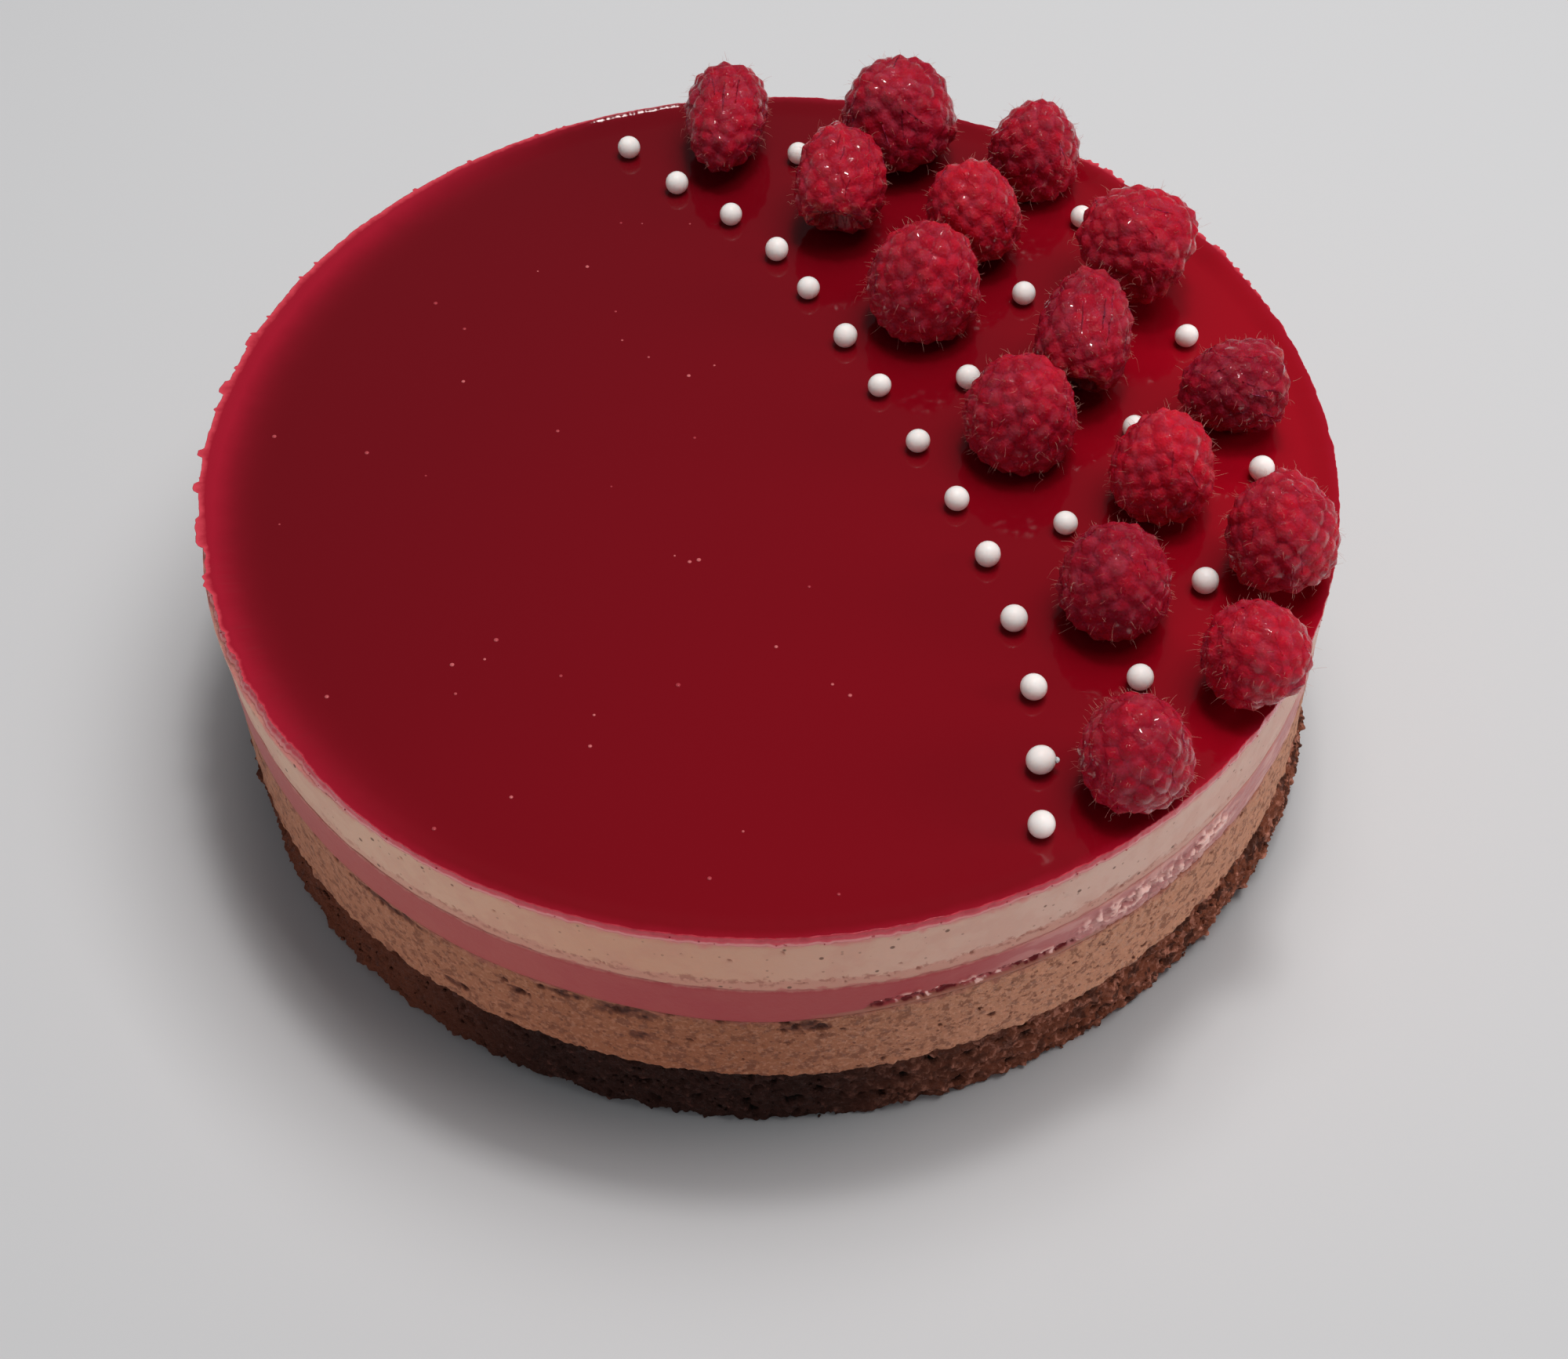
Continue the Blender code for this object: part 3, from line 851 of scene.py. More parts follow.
@dataclass(frozen=True)
class JellyFinish(Finish):
    """Glossy raspberry jelly: deep where it is thick, bright and pink where it thins at the rim, with painted
    light brightening it towards the front and the right.
    """

    name: str = "raspberry_jelly"
    ground: Colour = (0.126, 0.0016, 0.0056)
    ior: float = 1.33
    rim: float = 110.0 * MM
    # painted light towards the front and the right
    full: Colour = (0.172, 0.0012, 0.0060)
    # painted light at the far right
    lit: Colour = (0.280, 0.0014, 0.0085)
    thin: Colour = (0.290, 0.0060, 0.0200)
    film: Colour = (0.580, 0.052, 0.078)
    fringe: Colour = (0.680, 0.240, 0.235)

    def paint(self, graph: Graph) -> None:
        """Brightens the jelly with painted light towards its front and its right side, and pinkens it at its
        thin edges.
        """
        drift = 12.0 * MM * graph.noise(45.0, 1.0)
        # painted light: brighter towards the front and the right
        front = graph.band(graph.toward(Direction.RIGHT) + drift, -95.0 * MM, 70.0 * MM)
        graph.tint(front, self.full)
        graph.tint(graph.side(Direction.FAR_RIGHT, 45.0, 112.0), self.lit)
        left = graph.side(Direction.LEFT, 40.0, 104.0)
        radius = graph.radius() + 1.6 * MM * graph.noise(5.0, 3.0)
        glow = graph.band(radius, self.rim - 18.0 * MM, self.rim + 5.0 * MM)
        graph.tint(2.1 * glow * glow * glow * left, self.thin)
        graph.tint(0.5 * graph.band(radius, self.rim - 1.6 * MM, self.rim + 0.8 * MM), self.thin)
        film = graph.attribute("cavity") + 0.5 * graph.noise(1.6, 3.0)
        graph.tint(graph.band(film, 0.40, 1.1), self.film)
        graph.tint(graph.band(film, 1.15, 1.75), self.fringe)
        graph.set(Roughness=0.05 + 0.05 * graph.noise(20.0, 2.0))
        graph.emboss(graph.noise(16.0, 1.0), 0.12, 0.25)


@dataclass
class Glaze:
    """The jelly disc with its raised, torn lip."""

    finish: JellyFinish
    node: str = "glaze"
    segments: int = 2200
    side_rows: int = 8
    flap_rows: int = 2
    lip_rows: int = 9
    top_rows: tuple[float, ...] = (0.9, 0.75, 0.6, 0.4, 0.2, 0.0)  # shares of the rim's radius
    flap: float = 1.3 * MM  # how far a torn flap of the lip sticks out
    full_flap: float = 0.6 * MM  # from here on a flap shows the film's colour at its strongest
    lip_width: float = 5.5 * MM
    bead: float = 0.38 * MM  # how much higher the lip's crest is at the back
    side_inset: float = 0.3 * MM
    bared: float = 1.3 * MM  # how far the side is worn back at the lower left
    thinned: float = 1.1 * MM  # how far the foot of the side runs out there

    def __post_init__(self) -> None:
        """Reads the glaze's solid and the flat top's height."""
        self.form = Form(self.node)
        self.rim = abs(self.form.low.y)
        self.top = self.form.head(Direction.FRONT_LEFT.angle, 0.5 * self.rim)
        self.under = self.form.foot(Direction.FRONT_LEFT.angle, 0.5 * self.rim)

    def tear(self, angle: float) -> float:
        """How far the lip sticks out in ragged flaps and small spikes, from 0 to about 1."""
        place = on_side(angle, self.rim, 0.0)
        flaps = smooth(wave(place, 4.6), 0.13, 0.24) * (0.8 + 0.4 * wave(place, 1.8))
        scallops = smooth(wave(place, 1.9), -0.05, 0.18) * (0.75 + 0.5 * wave(place, 0.9))
        spikes = smooth(wave(place, 1.4), 0.38, 0.48)
        worn = window(angle, Direction.LEFT, 28.0) * flaps
        worn += 0.75 * window(angle, Direction.BACK_RIGHT, 24.0) * scallops
        return worn + (0.06 + 0.40 * window(angle, Direction.BACK_LEFT, 45.0)) * spikes

    def rings(self) -> list[Ring]:
        """The rows of the jelly, from the middle of its underside round the lip to its top."""

        @cache
        def edge(angle: float) -> Row:
            """Foot, side radius, lip height and lip radius at an angle."""
            ragged = fractal(on_side(angle, self.rim, 0.0), 3.5, COARSE, 4)
            foot = self.form.foot(angle, 0.95 * self.rim) - 0.5 * LAYER_GAP
            reach = self.form.reach(angle, self.top + 0.4 * MM)
            crest = self.form.head(angle, reach - 0.3 * MM)
            bared = self.bared * window(angle, Direction.LOWER_LEFT, 28.0) * (1.0 + 0.7 * ragged)
            side = self.rim - self.side_inset - bared + 0.22 * MM * ragged
            return foot, side, crest, side + (reach - self.rim) + self.flap * self.tear(angle)

        def side(share: float, angle: float) -> Row:
            """A point on the side, whose foot is ragged and whose head runs out to the flaps."""
            foot, near, crest, far = edge(angle)
            drip = 0.5 * MM * wave(on_side(angle, self.rim, 0.0), 2.2) * (1.0 - share)
            lumps = 0.10 * MM * wave(on_side(angle, self.rim, 30.0 * MM * share), 1.3)
            out = near + (far - near) * smooth(share, 0.6, 1.0) + lumps
            out += self.thinned * window(angle, Direction.LOWER_LEFT, 28.0) * (1.0 - share) ** 1.5
            film = 0.65 + 0.9 * (1.0 - smooth(share, 0.10, 0.60))
            film += 0.5 * min(1.0, (far - near) / self.full_flap) * smooth(share, 0.5, 0.9)
            return out, foot + share * (crest - foot) + drip, film, share

        def flap(share: float, angle: float) -> Row:
            """A point on the flaps, from their edge in to the crest of the lip."""
            _, near, crest, far = edge(angle)
            film = (0.25 + 0.50 * min(1.0, (far - near) / self.full_flap)) * (1.0 - 0.6 * share)
            bead = self.bead * share * window(angle, Direction.BACK, 12.0)
            return far + (near - far) * share - (0.15 + 0.10 * share) * MM, crest + bead, film, 1.0

        def lip(share: float, angle: float) -> Row:
            """A point on the lip's slope down to the flat top."""
            _, near, crest, _ = edge(angle)
            inward = self.lip_width * share**1.6
            rise = (crest - self.top) * (1.0 - smooth(inward, 0.0, self.lip_width))
            bead = self.bead * window(angle, Direction.BACK, 12.0) * max(0.0, 1.0 - inward / (0.8 * MM))
            return near - 0.25 * MM - inward, self.top + rise + bead, 0.0, 1.0

        def flat(share: float, height: float, angle: float) -> Row:
            """A point at a share of the rim's radius and a height."""
            return share * self.rim, height, 0.0, 1.0

        def under(share: float, angle: float) -> Row:
            """A point on the underside."""
            return share * self.rim, edge(angle)[0], 0.0, 0.0

        sides = [partial(side, row / self.side_rows) for row in range(self.side_rows + 1)]
        flaps = [partial(flap, row / self.flap_rows) for row in range(self.flap_rows + 1)]
        lips = [partial(lip, row / self.lip_rows) for row in range(1, self.lip_rows + 1)]
        tops = [partial(flat, share, self.top) for share in self.top_rows]
        return [partial(flat, 0.0, self.under), partial(under, 0.95), *sides, *flaps, *lips, *tops]

    def build(self) -> bpy.types.Object:
        """Makes the jelly's piece in place of its solid."""
        shape = turned(self.rings(), self.segments)
        self.skin = BVHTree.FromBMesh(shape)
        return add_piece("jelly_glaze", shape, self.finish.make(), [self.node])


@dataclass
class Bubbles:
    """Air bubbles that stopped just under the jelly's skin, and the small ones along its edge."""

    glaze: Glaze
    count: int = 42
    spread: float = 104.0 * MM
    first: float = 1.7  # they lie between these angles, in radians
    last: float = 5.4
    edge_count: int = 150
    seed: int = 7

    def build(self) -> bpy.types.Object:
        """Makes all the bubbles as one piece."""
        rng = random.Random(self.seed)
        bm = bmesh.new()
        for _ in range(self.count):
            angle = rng.uniform(self.first, self.last)
            spot = on_side(angle, self.spread * math.sqrt(rng.uniform(0.02, 1.0)), self.glaze.top)
            size = rng.uniform(0.20, 0.48) * MM
            self.add(bm, spot, (size, size, 0.35 * size), 2)
        for _ in range(self.edge_count):
            angle = rng.uniform(0.0, FULL_TURN)
            height = self.glaze.top - rng.uniform(0.4, 1.9) * MM
            size = rng.uniform(0.10, 0.26) * MM
            spot = inward_hit(self.glaze.skin, angle, height)
            if spot is not None:
                self.add(bm, spot, (size, size, size), 1)
        pale = (0.50, 0.110, 0.120)
        finish = PatchyFinish("jelly_bubble", (0.33, 0.030, 0.042), roughness=0.3, other=pale, patch=12.0)
        return add_piece("jelly_bubbles", bm, finish.make())

    @staticmethod
    def add(bm: bmesh.types.BMesh, place: Vector, size: Triple, cuts: int) -> None:
        """Adds one bubble.

        Args:
            bm: The mesh that takes it.
            place: Its middle.
            size: Its half widths.
            cuts: How finely it is divided.
        """
        matrix = Matrix.Translation(place) @ Matrix.Diagonal((*size, 1.0))
        bmesh.ops.create_icosphere(bm, subdivisions=cuts, radius=1.0, matrix=matrix)


@dataclass(frozen=True)
class PearlFinish(Finish):
    """Warm white sugar, satin."""

    name: str = "sugar_pearl"
    ground: Colour = (0.88, 0.82, 0.80)
    roughness: float = 0.32
    subsurface: float = 1.0
    bleed: Colour = (1.0, 0.75, 0.70)
    bleed_scale: float = 3.5 * MM
    shade: Colour = (0.80, 0.73, 0.71)
    # painted reflection of the red jelly on the lower part
    blush: Colour = (0.90, 0.62, 0.62)
    foot: float = 63.0 * MM  # height of the jelly that they stand in

    def paint(self, graph: Graph) -> None:
        """A barely uneven sugar shell, pinker towards the jelly as a painted reflection of it."""
        graph.tint(graph.noise(2.0, 3.0), self.shade)
        # painted reflection: pinker towards the jelly
        low = graph.band(graph.height(), self.foot + 3.0 * MM, self.foot + 0.5 * MM)
        graph.tint(0.8 * low, self.blush)
        graph.emboss(graph.noise(0.9, 2.0), 0.12, 0.3)


@dataclass
class Pearls:
    """The sugar pearls, found on the glaze's solid by their top points."""

    glaze: Glaze
    radius: float = 2.45 * MM
    sides: int = 28
    bands: int = 18
    nubbed: Vector = Vector((46.1 * MM, -75.5 * MM))  # near this place one pearl is larger, with a nub
    larger: float = 1.10
    nub: float = 0.24  # the nub's radius over the pearl's
    nub_side: Vector = Vector((1.0, -0.1, 0.15))
    seed: int = 11

    def places(self) -> list[Vector]:
        """The middle of each pearl."""
        summit = self.glaze.form.high.z
        tops = {
            (round(vert.co.x, 5), round(vert.co.y, 5))
            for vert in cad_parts[self.glaze.node].data.vertices
            if summit - vert.co.z < 0.01 * MM
        }
        return [Vector((x, y, summit - self.radius)) for x, y in sorted(tops)]

    def build(self) -> bpy.types.Object:
        """Makes all the pearls as one piece."""
        rng = random.Random(self.seed)
        bm = bmesh.new()
        places = self.places()
        large = min(places, key=lambda place: (place.xy - self.nubbed).length)
        for place in places:
            size = self.larger if place is large else rng.uniform(0.96, 1.04)
            squash = rng.uniform(0.95, 1.0)
            turn = Matrix.Rotation(rng.uniform(0.0, FULL_TURN), 4, "Z") @ Matrix.Rotation(0.4, 4, "X")
            stretch = Matrix.Diagonal((size, size * squash, size, 1.0))
            pose = Matrix.Translation(place - (1.0 - size) * self.radius * UP) @ turn @ stretch
            bmesh.ops.create_uvsphere(
                bm, u_segments=self.sides, v_segments=self.bands, radius=self.radius, matrix=pose
            )
        nub = Matrix.Translation(large + self.nub_side.normalized() * 1.12 * self.radius)
        size = self.nub * self.radius
        bmesh.ops.create_uvsphere(bm, u_segments=12, v_segments=8, radius=size, matrix=nub)
        LOG.info("%d pearls", len(places))
        return add_piece("sugar_pearls", bm, PearlFinish().make())


# ---------------------------------------------------------------------------------------------
# Raspberries
# ---------------------------------------------------------------------------------------------


@dataclass(frozen=True)
class BerryFinish(Finish):
    """Translucent crimson drupelets under a thin bloom, some of them wet, with painted shade in the creases.
    """

    name: str = "raspberry_skin"
    ground: Colour = (0.490, 0.0058, 0.0215)
    ior: float = 1.32
    coat_roughness: float = 0.06
    subsurface: float = 0.75
    bleed: Colour = (1.0, 0.12, 0.14)
    bleed_scale: float = 2.2 * MM
    ripe: Colour = (0.215, 0.0032, 0.0148)
    # painted shade in the creases
    deep: Colour = (0.150, 0.0020, 0.0100)
    bloom: Colour = (0.360, 0.034, 0.070)
    core: Colour = (0.480, 0.100, 0.090)

    def paint(self, graph: Graph) -> None:
        """Tones the drupelets, paints shade into the creases and spreads the bloom."""
        tone = graph.attribute("tone")
        crease = graph.attribute("crease")
        cloud = graph.clouds(7.0, 2.0, 0.36, 0.64)
        graph.tint(0.65 * graph.attribute("ripeness") + 0.30 * cloud + 0.15 * tone, self.ripe)
        # painted shade in the creases between the drupelets
        graph.tint(0.2 * crease, self.deep)
        dust = graph.clouds(2.6, 4.0, 0.45, 0.70)
        graph.tint(0.45 * dust, self.bloom)
        graph.tint(graph.attribute("core") * graph.clouds(1.6, 3.0, 0.46, 0.60), self.core)
        drops = graph.clouds(1.3, 2.0, 0.53, 0.58)
        graph.set(Roughness=(0.42 + 0.25 * dust) * (1.0 - 0.8 * drops))
        wet = graph.clouds(9.0, 1.0, 0.32, 0.52)
        graph.set(Coat_Weight=wet * graph.band(tone, 0.35, 0.50) * graph.band(crease, 0.50, 0.20))
        graph.emboss(graph.noise(0.7, 1.0), 0.32, 0.8)


@dataclass
class Raspberry:
    """One raspberry, in place of its solid. It stands on its open end, and then leans."""

    number: int
    girth: float  # millimetres across at its widest
    length: float  # millimetres from the open end to the tip
    lean: float  # degrees that the tip leans from upright
    toward: float  # degrees from +X towards +Y: the way the tip leans
    ripeness: float  # from 0, bright red, to 1, dark crimson
    drupelets: int = 104
    cuts: int = 4
    widest_share: float = 0.32
    mouth_share: float = 0.62
    middle_share: float = 0.45
    bead: float = 5.0 * MM  # radius of a drupelet's round cap
    rise: float = 0.2 * MM
    groove: float = 0.75 * MM  # width of the crease between two drupelets
    hollow: float = 5.0 * MM
    mouth_sides: int = 14
    spiral_steps: int = 300
    farthest: float = 0.9 * MM  # how far a corner of the net may move

    def __post_init__(self) -> None:
        """Names the solid that the raspberry stands for and seeds its shape."""
        self.node = f"raspberry_{self.number:02d}"
        self.rng = random.Random(100 + self.number)
        self.width = self.girth * MM
        self.height = self.length * MM
        self.mouth = 0.8 * self.half_width(0.0)
        self.crowns: list[tuple[Vector, Vector]] = []  # each drupelet's top and outward direction

    def half_width(self, share: float) -> float:
        """The body's half width at a share of its height."""
        if share < self.widest_share:
            below = (self.widest_share - share) / self.widest_share
            return 0.5 * self.width * (self.mouth_share + (1 - self.mouth_share) * math.sqrt(1 - below**2))
        above = (share - self.widest_share) / (1 - self.widest_share)
        return 0.5 * self.width * max(0.0, 1 - above**2.2) ** 0.56

    def centres(self) -> list[Vector]:
        """Drupelet centres, spread evenly over the body on a golden spiral and then jostled."""
        steps = self.spiral_steps
        areas = [0.0]
        for step in range(steps):
            low = self.half_width(step / steps)
            high = self.half_width((step + 1) / steps)
            areas.append(areas[-1] + (low + high) * math.hypot(high - low, self.height / steps))
        centres = []
        drift = Vector((self.number * 3.1, self.number * 1.7, 0.0))
        for number in range(self.drupelets):
            wanted = areas[-1] * (number + 1.2 + self.rng.uniform(-0.8, 0.8)) / (self.drupelets + 1)
            step = next((place for place in range(steps) if areas[place + 1] >= wanted), steps - 1)
            share = (step + (wanted - areas[step]) / (areas[step + 1] - areas[step])) / steps
            angle = number * GOLDEN_ANGLE + self.rng.uniform(-0.10, 0.10)
            centre = on_side(angle, self.half_width(min(share, 1.0)), share * self.height)
            centres.append(centre * (1.0 + 0.06 * noise.noise(centre / (8.0 * MM) + drift)))
        return centres

    def outward(self, place: Vector) -> Vector:
        """The direction straight out of the body at a point."""
        middle = self.widest_share * self.height
        rise = place.z - middle
        tall = self.height - middle if rise > 0 else 1.6 * middle
        slope = 0.25 * self.width * rise / tall**2
        return Vector((place.x / self.width, place.y / self.width, slope)).normalized()

    def netted(self, centres: list[Vector]) -> bmesh.types.BMesh:
        """A fine closed net whose lines run along the creases between the drupelets."""
        bm = bmesh.new()
        for centre in centres:
            bm.verts.new(centre)
        for side in range(self.mouth_sides):
            angle = side * FULL_TURN / self.mouth_sides
            bm.verts.new(on_side(angle, self.mouth, 0.0))
            bm.verts.new(on_side(angle, 0.5 * self.mouth, -0.06 * MM))
        bm.verts.new((0.0, 0.0, -0.1 * MM))
        bmesh.ops.convex_hull(bm, input=bm.verts)
        bmesh.ops.delete(bm, geom=[vert for vert in bm.verts if not vert.link_faces], context="VERTS")
        ridges = list(bm.edges)
        corners = [(face, [vert.co.copy() for vert in face.verts]) for face in bm.faces]
        poked = bmesh.ops.poke(bm, faces=[face for face, _ in corners])
        for vert, (_, (a, b, c)) in zip(poked["verts"], corners):
            vert.co = vert.co.lerp(self.equidistant(a, b, c), 0.7)
        bmesh.ops.rotate_edges(bm, edges=ridges, use_ccw=False)
        bmesh.ops.subdivide_edges(bm, edges=bm.edges, cuts=self.cuts, use_grid_fill=True)
        return bm

    def equidistant(self, a: Vector, b: Vector, c: Vector) -> Vector:
        """The point as far from each of three others, kept near their middle."""
        ab, ac = b - a, c - a
        across = ab.cross(ac)
        off = across.cross(ab) * ac.length_squared + ac.cross(across) * ab.length_squared
        found = a + off / (2.0 * max(across.length_squared, 1e-18))
        middle = (a + b + c) / 3.0
        away = found - middle
        return middle + away * min(1.0, self.farthest / max(away.length, 1e-9))

    def shape(self) -> bmesh.types.BMesh:
        """The raspberry standing on its open end, with a round cap for each drupelet."""
        centres = self.centres()
        bm = self.netted(centres)
        near = KDTree(len(centres))
        for number, centre in enumerate(centres):
            near.insert(centre, number)
        near.balance()
        sizes = [self.rng.uniform(0.92, 1.10) for _ in centres]
        tones = [self.rng.random() for _ in centres]
        layers = (bm.verts.layers.float.new(name) for name in ("crease", "tone", "core", "ripeness"))
        crease, tone, core, ripeness = layers
        for vert in bm.verts:
            place = vert.co.copy()
            (_, number, first), (_, _, second) = near.find_n(place, 2)
            bead = self.bead * sizes[number]
            reach = min(first, 0.8 * bead)
            sunk = bead - math.sqrt(bead * bead - reach * reach)
            joint = bell(second - first, 0.0, self.groove)
            vert.co += self.outward(place) * (self.rise + 0.3 * (bead - self.bead) - sunk + 0.10 * MM * joint)
            # the crease number paints shade into the creases
            vert[crease] = joint
            vert[ripeness] = self.ripeness
            vert[tone] = tones[number]
            vert[core] = 0.6 * (1.0 - smooth(place.z, 0.6 * MM, 2.2 * MM))
            if place.z < 0.3 * MM and place.xy.length < 1.01 * self.mouth:
                inside = max(0.0, 1.0 - (place.xy.length / self.mouth) ** 2)
                vert.co = place + self.hollow * inside**0.7 * UP
                vert[core] = 0.45
        outward = [self.outward(centre) for centre in centres]
        self.crowns = [(centre + out * self.rise, out) for centre, out in zip(centres, outward)]
        return bm

    def build(self, finish: bpy.types.Material) -> bpy.types.Object:
        """Makes the raspberry, leans it and sets it down where its solid lies."""
        bm = self.shape()
        spin = Matrix.Rotation(self.rng.uniform(0.0, FULL_TURN), 4, "Z")
        lean = Matrix.Rotation(math.radians(self.lean), 4, "Y")
        turn = Matrix.Rotation(math.radians(self.toward), 4, "Z")
        pose = turn @ lean @ Matrix.Translation((0.0, 0.0, -self.middle_share * self.height)) @ spin
        bmesh.ops.transform(bm, matrix=pose, verts=bm.verts)
        low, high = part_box(self.node)
        mine_low = Vector(min(vert.co[axis] for vert in bm.verts) for axis in range(3))
        mine_high = Vector(max(vert.co[axis] for vert in bm.verts) for axis in range(3))
        shift = 0.5 * (low + high) - 0.5 * (mine_low + mine_high)
        shift.z = low.z - mine_low.z - LAYER_GAP
        bmesh.ops.translate(bm, verts=bm.verts, vec=shift)
        bmesh.ops.recalc_face_normals(bm, faces=bm.faces)
        place = Matrix.Translation(shift) @ pose
        self.crowns = [(place @ top, (place.to_3x3() @ out).normalized()) for top, out in self.crowns]
        return add_piece(f"{self.node}_fruit", bm, finish, [self.node])


@dataclass
class Hairs:
    """The hairs of all the raspberries: one on most drupelets, fuzz between, and a few long curls."""

    berries: list[Raspberry]
    floor: float  # height of the jelly's top, which no hair reaches into
    thickness: float = 0.03 * MM
    kinds: tuple[tuple[float, float, int], ...] = ((1.8, 1.0, 4), (1.2, 0.8, 2), (0.8, 0.8, 2))
    present: float = 0.85  # the share of the hairs that are there
    lowest: float = -0.45  # drupelets that face further down have none
    curls: int = 3  # on each raspberry
    curl_steps: int = 12
    seed: int = 5

    def strand(self, curve: bpy.types.Curve, points: list[Vector], girth: float) -> None:
        """Adds one hair.

        Args:
            curve: The curve object's data.
            points: Its places from root to tip.
            girth: Its thickness over the usual one.
        """
        spline = curve.splines.new("POLY")
        spline.points.add(len(points) - 1)
        for number, (point, place) in enumerate(zip(spline.points, points)):
            point.co = (place.x, place.y, max(place.z, self.floor + 0.05 * MM), 1.0)
            point.radius = girth * (1.0 - 0.6 * number / (len(points) - 1))

    def bent(self, rng: random.Random, root: Vector, out: Vector, length: float, steps: int) -> list[Vector]:
        """The places of one gently bent hair, from its root outwards."""
        aim = (out + 0.5 * anywhere(rng)).normalized()
        bend = 0.35 * (anywhere(rng) - 0.5 * UP)
        shares = [step / steps for step in range(steps + 1)]
        return [root + length * (share * aim + share * share * bend) for share in shares]

    def curl(self, rng: random.Random, root: Vector, out: Vector, length: float) -> list[Vector]:
        """The places of one long curly hair, from its root outwards."""
        side = out.cross(UP).normalized() * rng.choice((-1.0, 1.0))
        rounds = rng.uniform(0.8, 1.5) * FULL_TURN
        places = []
        for step in range(self.curl_steps + 1):
            share = step / self.curl_steps
            swing = 0.16 * length * math.sin(rounds * share) + 0.5 * length * share
            lift = 0.12 * length * math.cos(rounds * share) - 0.45 * length * share * share
            places.append(root + out * (0.45 * length * share) + side * swing + lift * UP)
        return places

    def build(self) -> bpy.types.Object:
        """Makes all the hairs as one piece."""
        rng = random.Random(self.seed)
        curve = bpy.data.curves.new("berry_hairs", "CURVE")
        curve.dimensions = "3D"
        curve.bevel_depth = self.thickness
        curve.bevel_resolution = 0
        curve.use_fill_caps = True
        for berry in self.berries:
            for top, out in berry.crowns:
                if out.z < self.lowest:
                    continue
                for length, girth, steps in self.kinds:
                    if rng.random() > self.present:
                        continue
                    spread = anywhere(rng) * MM
                    root = top + spread - out * spread.dot(out) - out * 0.25 * MM
                    reach = length * rng.uniform(0.6, 1.25) * MM
                    self.strand(curve, self.bent(rng, root, out, reach, steps), girth)
            low = [crown for crown in berry.crowns if -0.4 < crown[1].z < 0.15]
            for top, out in rng.sample(low, min(self.curls, len(low))):
                self.strand(curve, self.curl(rng, top, out, rng.uniform(2.5, 5.0) * MM), 1.0)
        holder = add_object("berry_hairs_path", curve)
        graph = bpy.context.evaluated_depsgraph_get()
        mesh = bpy.data.meshes.new_from_object(holder.evaluated_get(graph))
        bpy.data.objects.remove(holder)
        bpy.data.curves.remove(curve)
        finish = PatchyFinish("raspberry_hair", (0.60, 0.32, 0.26), roughness=0.4, other=(0.50, 0.13, 0.12))
        return add_piece("berry_hairs", mesh, finish.make())


# ---------------------------------------------------------------------------------------------
# Crumbs, floor, light and camera
# ---------------------------------------------------------------------------------------------


@dataclass
class Crumbs:
    """Loose crumbs that cling to the sponge's side and lie at its foot."""

    count: int = 900
    highest: float = 0.92  # over the sponge's height
    seed: int = 3

    def build(self) -> bpy.types.Object:
        """Makes all the crumbs as one piece."""
        rng = random.Random(self.seed)
        form = Form("sponge")
        bm = bmesh.new()
        for _ in range(self.count):
            angle = rng.uniform(0.0, FULL_TURN)
            size = rng.uniform(0.25, 0.75) * MM * rng.uniform(0.6, 1.0)
            height = max(0.7 * size, rng.uniform(0.0, self.highest) * form.head(angle, 0.9 * form.high.y))
            reach = form.reach(angle, max(height, LAYER_GAP)) + rng.uniform(-0.5, 0.25) * MM
            axis = anywhere(rng)
            turn = Matrix.Rotation(rng.uniform(0.0, FULL_TURN), 4, axis)
            stretch = Matrix.Diagonal((size, size * rng.uniform(0.6, 1.0), size * rng.uniform(0.5, 0.9), 1.0))
            place = Matrix.Translation(on_side(angle, reach, height))
            crumb = bmesh.ops.create_icosphere(bm, subdivisions=1, radius=1.0, matrix=place @ turn @ stretch)
            for vert in crumb["verts"]:
                vert.co += 0.3 * size * noise.noise_vector(vert.co / (0.8 * MM))
                vert.co.z = max(vert.co.z, 0.02 * MM)
        # the crumbs take the sponge's finish, with its painted light and shade
        return add_piece("sponge_crumbs", bm, SpongeFinish(name="sponge_crumb").make())


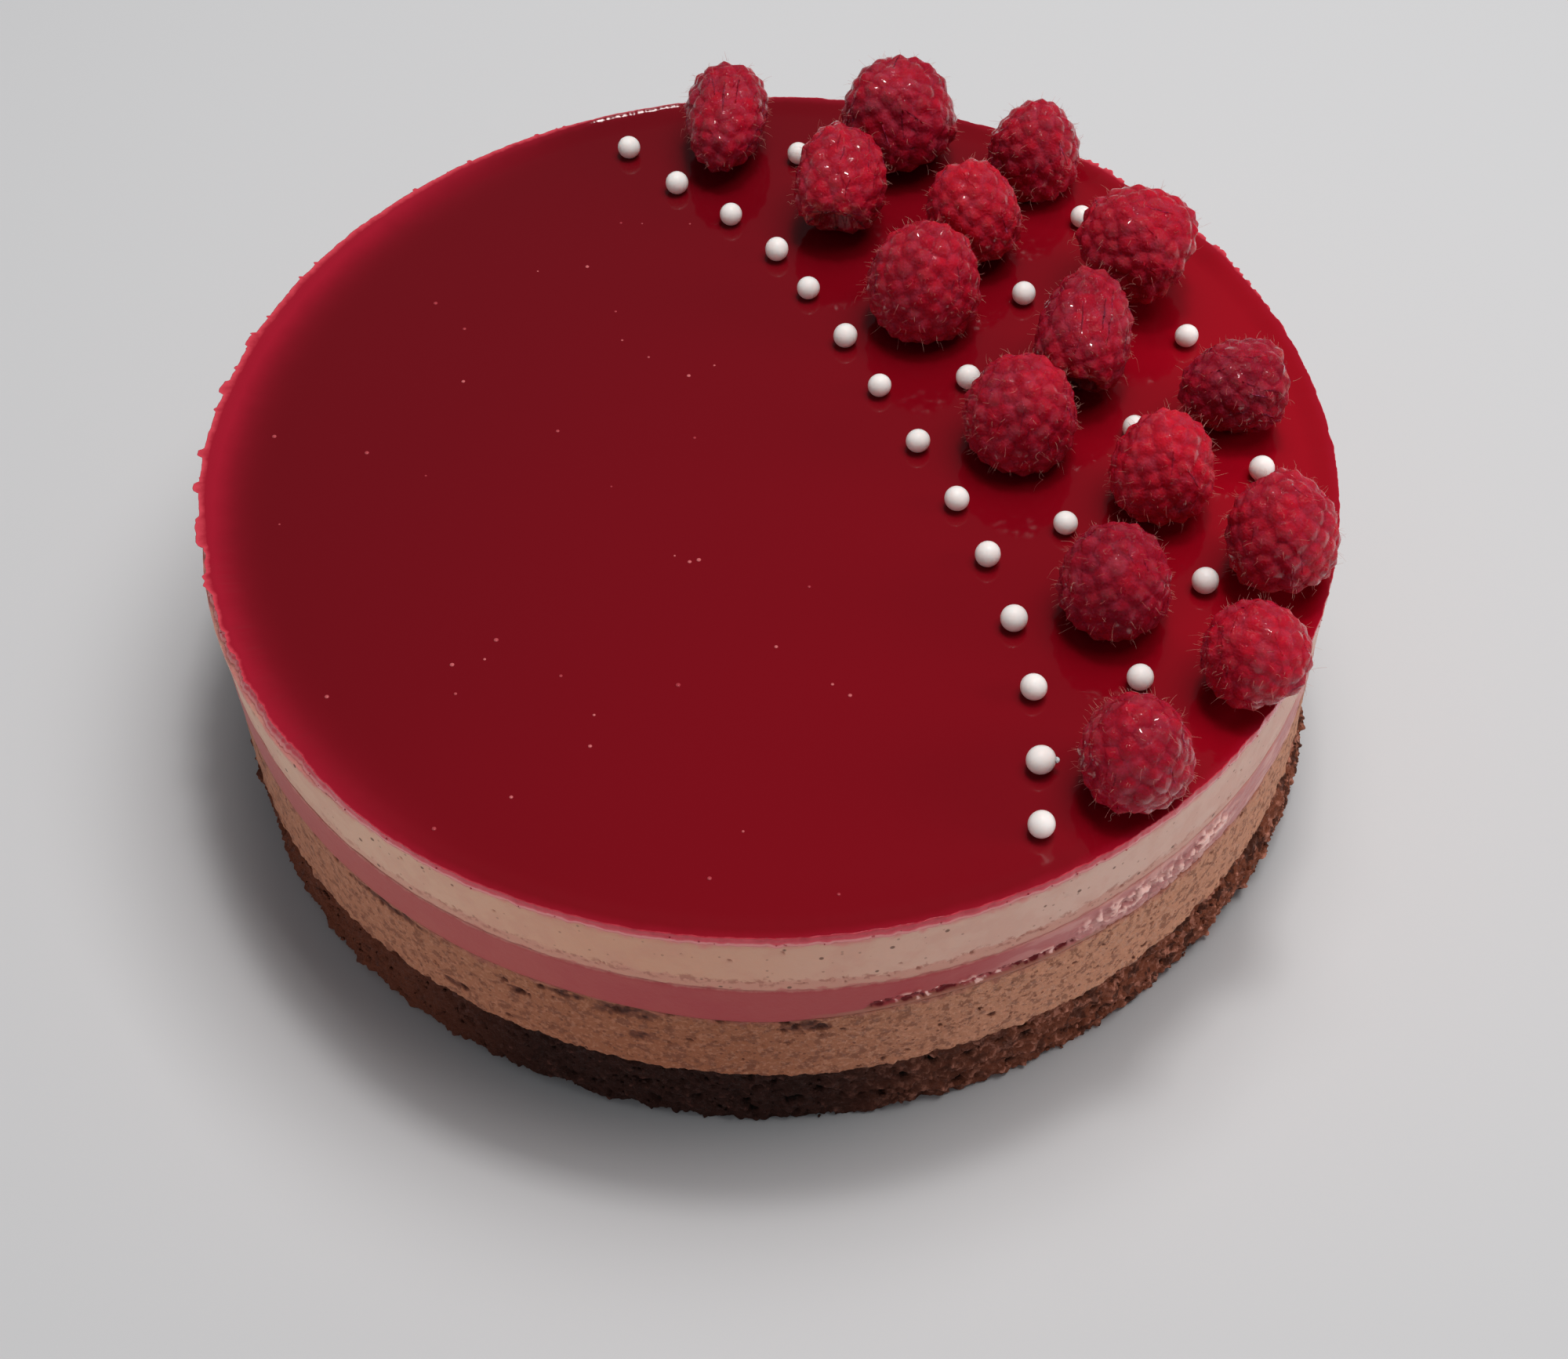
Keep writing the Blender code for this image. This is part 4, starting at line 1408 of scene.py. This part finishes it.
@dataclass
class Studio:
    """A plain pale floor, soft lights and the camera at the photograph's viewing angle."""

    frame_width: float = 2000.0  # pixels of the photograph
    focal_pixels: float = 3200.0
    camera_place: Vector = Vector((0.0, -0.3357, 0.4197))
    pan: float = 0.0056
    tilt: float = math.radians(51.71)
    roll: float = math.radians(-1.528)
    floor_width: float = 6.0
    floor_colour: Colour = (0.622, 0.632, 0.650)
    lamp_tint: Colour = (1.0, 0.975, 0.95)
    air: Colour = (0.95, 0.97, 1.0)
    air_strength: float = 0.18
    sensor: float = 36.0

    def camera(self) -> None:
        """Makes the camera and looks through it."""
        data = bpy.data.cameras.new("camera")
        data.sensor_width = self.sensor
        data.lens = self.sensor * self.focal_pixels / self.frame_width
        data.clip_start = 0.01
        flat = math.cos(self.tilt)
        ahead = Vector((flat * math.sin(self.pan), flat * math.cos(self.pan), -math.sin(self.tilt)))
        level = ahead.cross(UP).normalized()
        upright = level.cross(ahead)
        right = level * math.cos(self.roll) + upright * math.sin(self.roll)
        up = upright * math.cos(self.roll) - level * math.sin(self.roll)
        camera = add_object("camera", data)
        turn = Matrix((right, up, -ahead)).transposed().to_4x4()
        camera.matrix_world = Matrix.Translation(self.camera_place) @ turn
        bpy.context.scene.camera = camera

    def lamp(
        self, name: str, place: Triple, aim: Triple, size: tuple[float, float], watts: float
    ) -> bpy.types.Object:
        """Adds one soft lamp.

        Args:
            name: Its name.
            place: Where it hangs.
            aim: The point that it faces.
            size: Its width and height.
            watts: Its power.

        Returns:
            The lamp.
        """
        data = bpy.data.lights.new(name, "AREA")
        data.shape = "RECTANGLE"
        data.size, data.size_y = size
        data.energy = watts
        data.color = self.lamp_tint
        lamp = add_object(name, data)
        lamp.visible_camera = False
        turn = (Vector(aim) - Vector(place)).to_track_quat("-Z", "Y").to_matrix().to_4x4()
        lamp.matrix_world = Matrix.Translation(place) @ turn
        return lamp

    def floor(self) -> bpy.types.Object:
        """Lays the floor."""
        bm = bmesh.new()
        bmesh.ops.create_grid(bm, x_segments=1, y_segments=1, size=0.5 * self.floor_width)
        mesh = as_mesh("floor", bm)
        mesh.materials.append(Finish("floor_paper", self.floor_colour, roughness=0.9, ior=1.5).make())
        floor = add_object("floor", mesh)
        return floor

    def build(self) -> None:
        """Sets up the whole studio."""
        scene = bpy.context.scene
        scene.view_settings.view_transform = "Standard"
        world = bpy.data.worlds.new("studio_air")
        world.use_nodes = True
        background = world.node_tree.nodes["Background"].inputs
        background["Color"].default_value = (*self.air, 1.0)
        background["Strength"].default_value = self.air_strength
        scene.world = world
        floor = self.floor()
        self.lamp("window", (0.10, 0.18, 1.15), (0.02, 0.0, 0.03), (0.17, 0.12), 3.0)
        overhead = self.lamp("overhead", (0.27, 0.18, 1.16), (0.02, 0.0, 0.03), (0.90, 0.60), 10.6)
        overhead.visible_glossy = False
        beside = bpy.data.collections.new("not_lit_by_the_fills")
        beside.objects.link(floor)
        beside.collection_objects[0].light_linking.link_state = "EXCLUDE"
        for fill in (
            self.lamp("front_fill", (-0.70, -0.95, 0.50), (0.0, 0.0, 0.05), (0.7, 0.7), 0.7),
            self.lamp("low_left", (-0.42, -0.36, 0.04), (0.0, 0.0, 0.03), (0.40, 0.07), 0.50),
            self.lamp("low_front", (0.12, -0.55, 0.04), (0.0, 0.0, 0.03), (0.40, 0.07), 0.30),
            self.lamp("right_fill", (1.05, -0.15, 0.45), (0.0, 0.0, 0.05), (0.4, 0.4), 3.6),
        ):
            fill.visible_glossy = False
            fill.light_linking.receiver_collection = beside
        self.camera()


# Each raspberry: its number, girth and length, its lean and the way it leans, and its ripeness.
BERRIES = [
    Raspberry(1, 17.6, 24.2, 98, 265, 0.75),
    Raspberry(2, 24.6, 21.6, 15, 140, 0.80, drupelets=126),
    Raspberry(3, 19.1, 21.8, 62, 80, 0.50),
    Raspberry(4, 19.5, 19.6, 3, 60, 0.60),
    Raspberry(5, 19.2, 21.0, 20, 130, 0.05),
    Raspberry(6, 22.8, 22.9, 4, 100, 0.45, drupelets=122),
    Raspberry(7, 22.6, 22.4, 64, 165, 0.40, drupelets=118),
    Raspberry(8, 19.0, 23.4, 58, 75, 0.75),
    Raspberry(9, 22.3, 21.4, 3, 280, 0.55, drupelets=118),
    Raspberry(10, 18.1, 20.7, 90, 185, 1.00),
    Raspberry(11, 19.6, 20.7, 8, 60, 0.05),
    Raspberry(12, 20.4, 21.6, 24, 110, 0.40),
    Raspberry(13, 20.7, 20.4, 7, 120, 0.90),
    Raspberry(14, 19.3, 17.6, 28, 145, 0.30),
    Raspberry(15, 19.9, 19.3, 14, 112, 0.70),
]


def main() -> None:
    """Builds the cake's pieces from the foot up, then the studio."""
    logging.basicConfig(level=logging.INFO, format="%(message)s")
    noise.seed_set(NOISE_SEED)
    Sponge("sponge", SpongeFinish(), rows=44).build()
    Crumbs().build()
    Praline("praline_mousse", PralineFinish(), rows=46).build()
    Rose("raspberry_layer", RoseFinish(), rows=28).build()
    Cream("cream_mousse", CreamFinish(), rows=30).build()
    glaze = Glaze(JellyFinish())
    glaze.build()
    Bubbles(glaze).build()
    Pearls(glaze).build()
    skin = BerryFinish().make()
    for berry in BERRIES:
        berry.build(skin)
    Hairs(BERRIES, glaze.top).build()
    Studio().build()


if __name__ == "__main__":
    main()
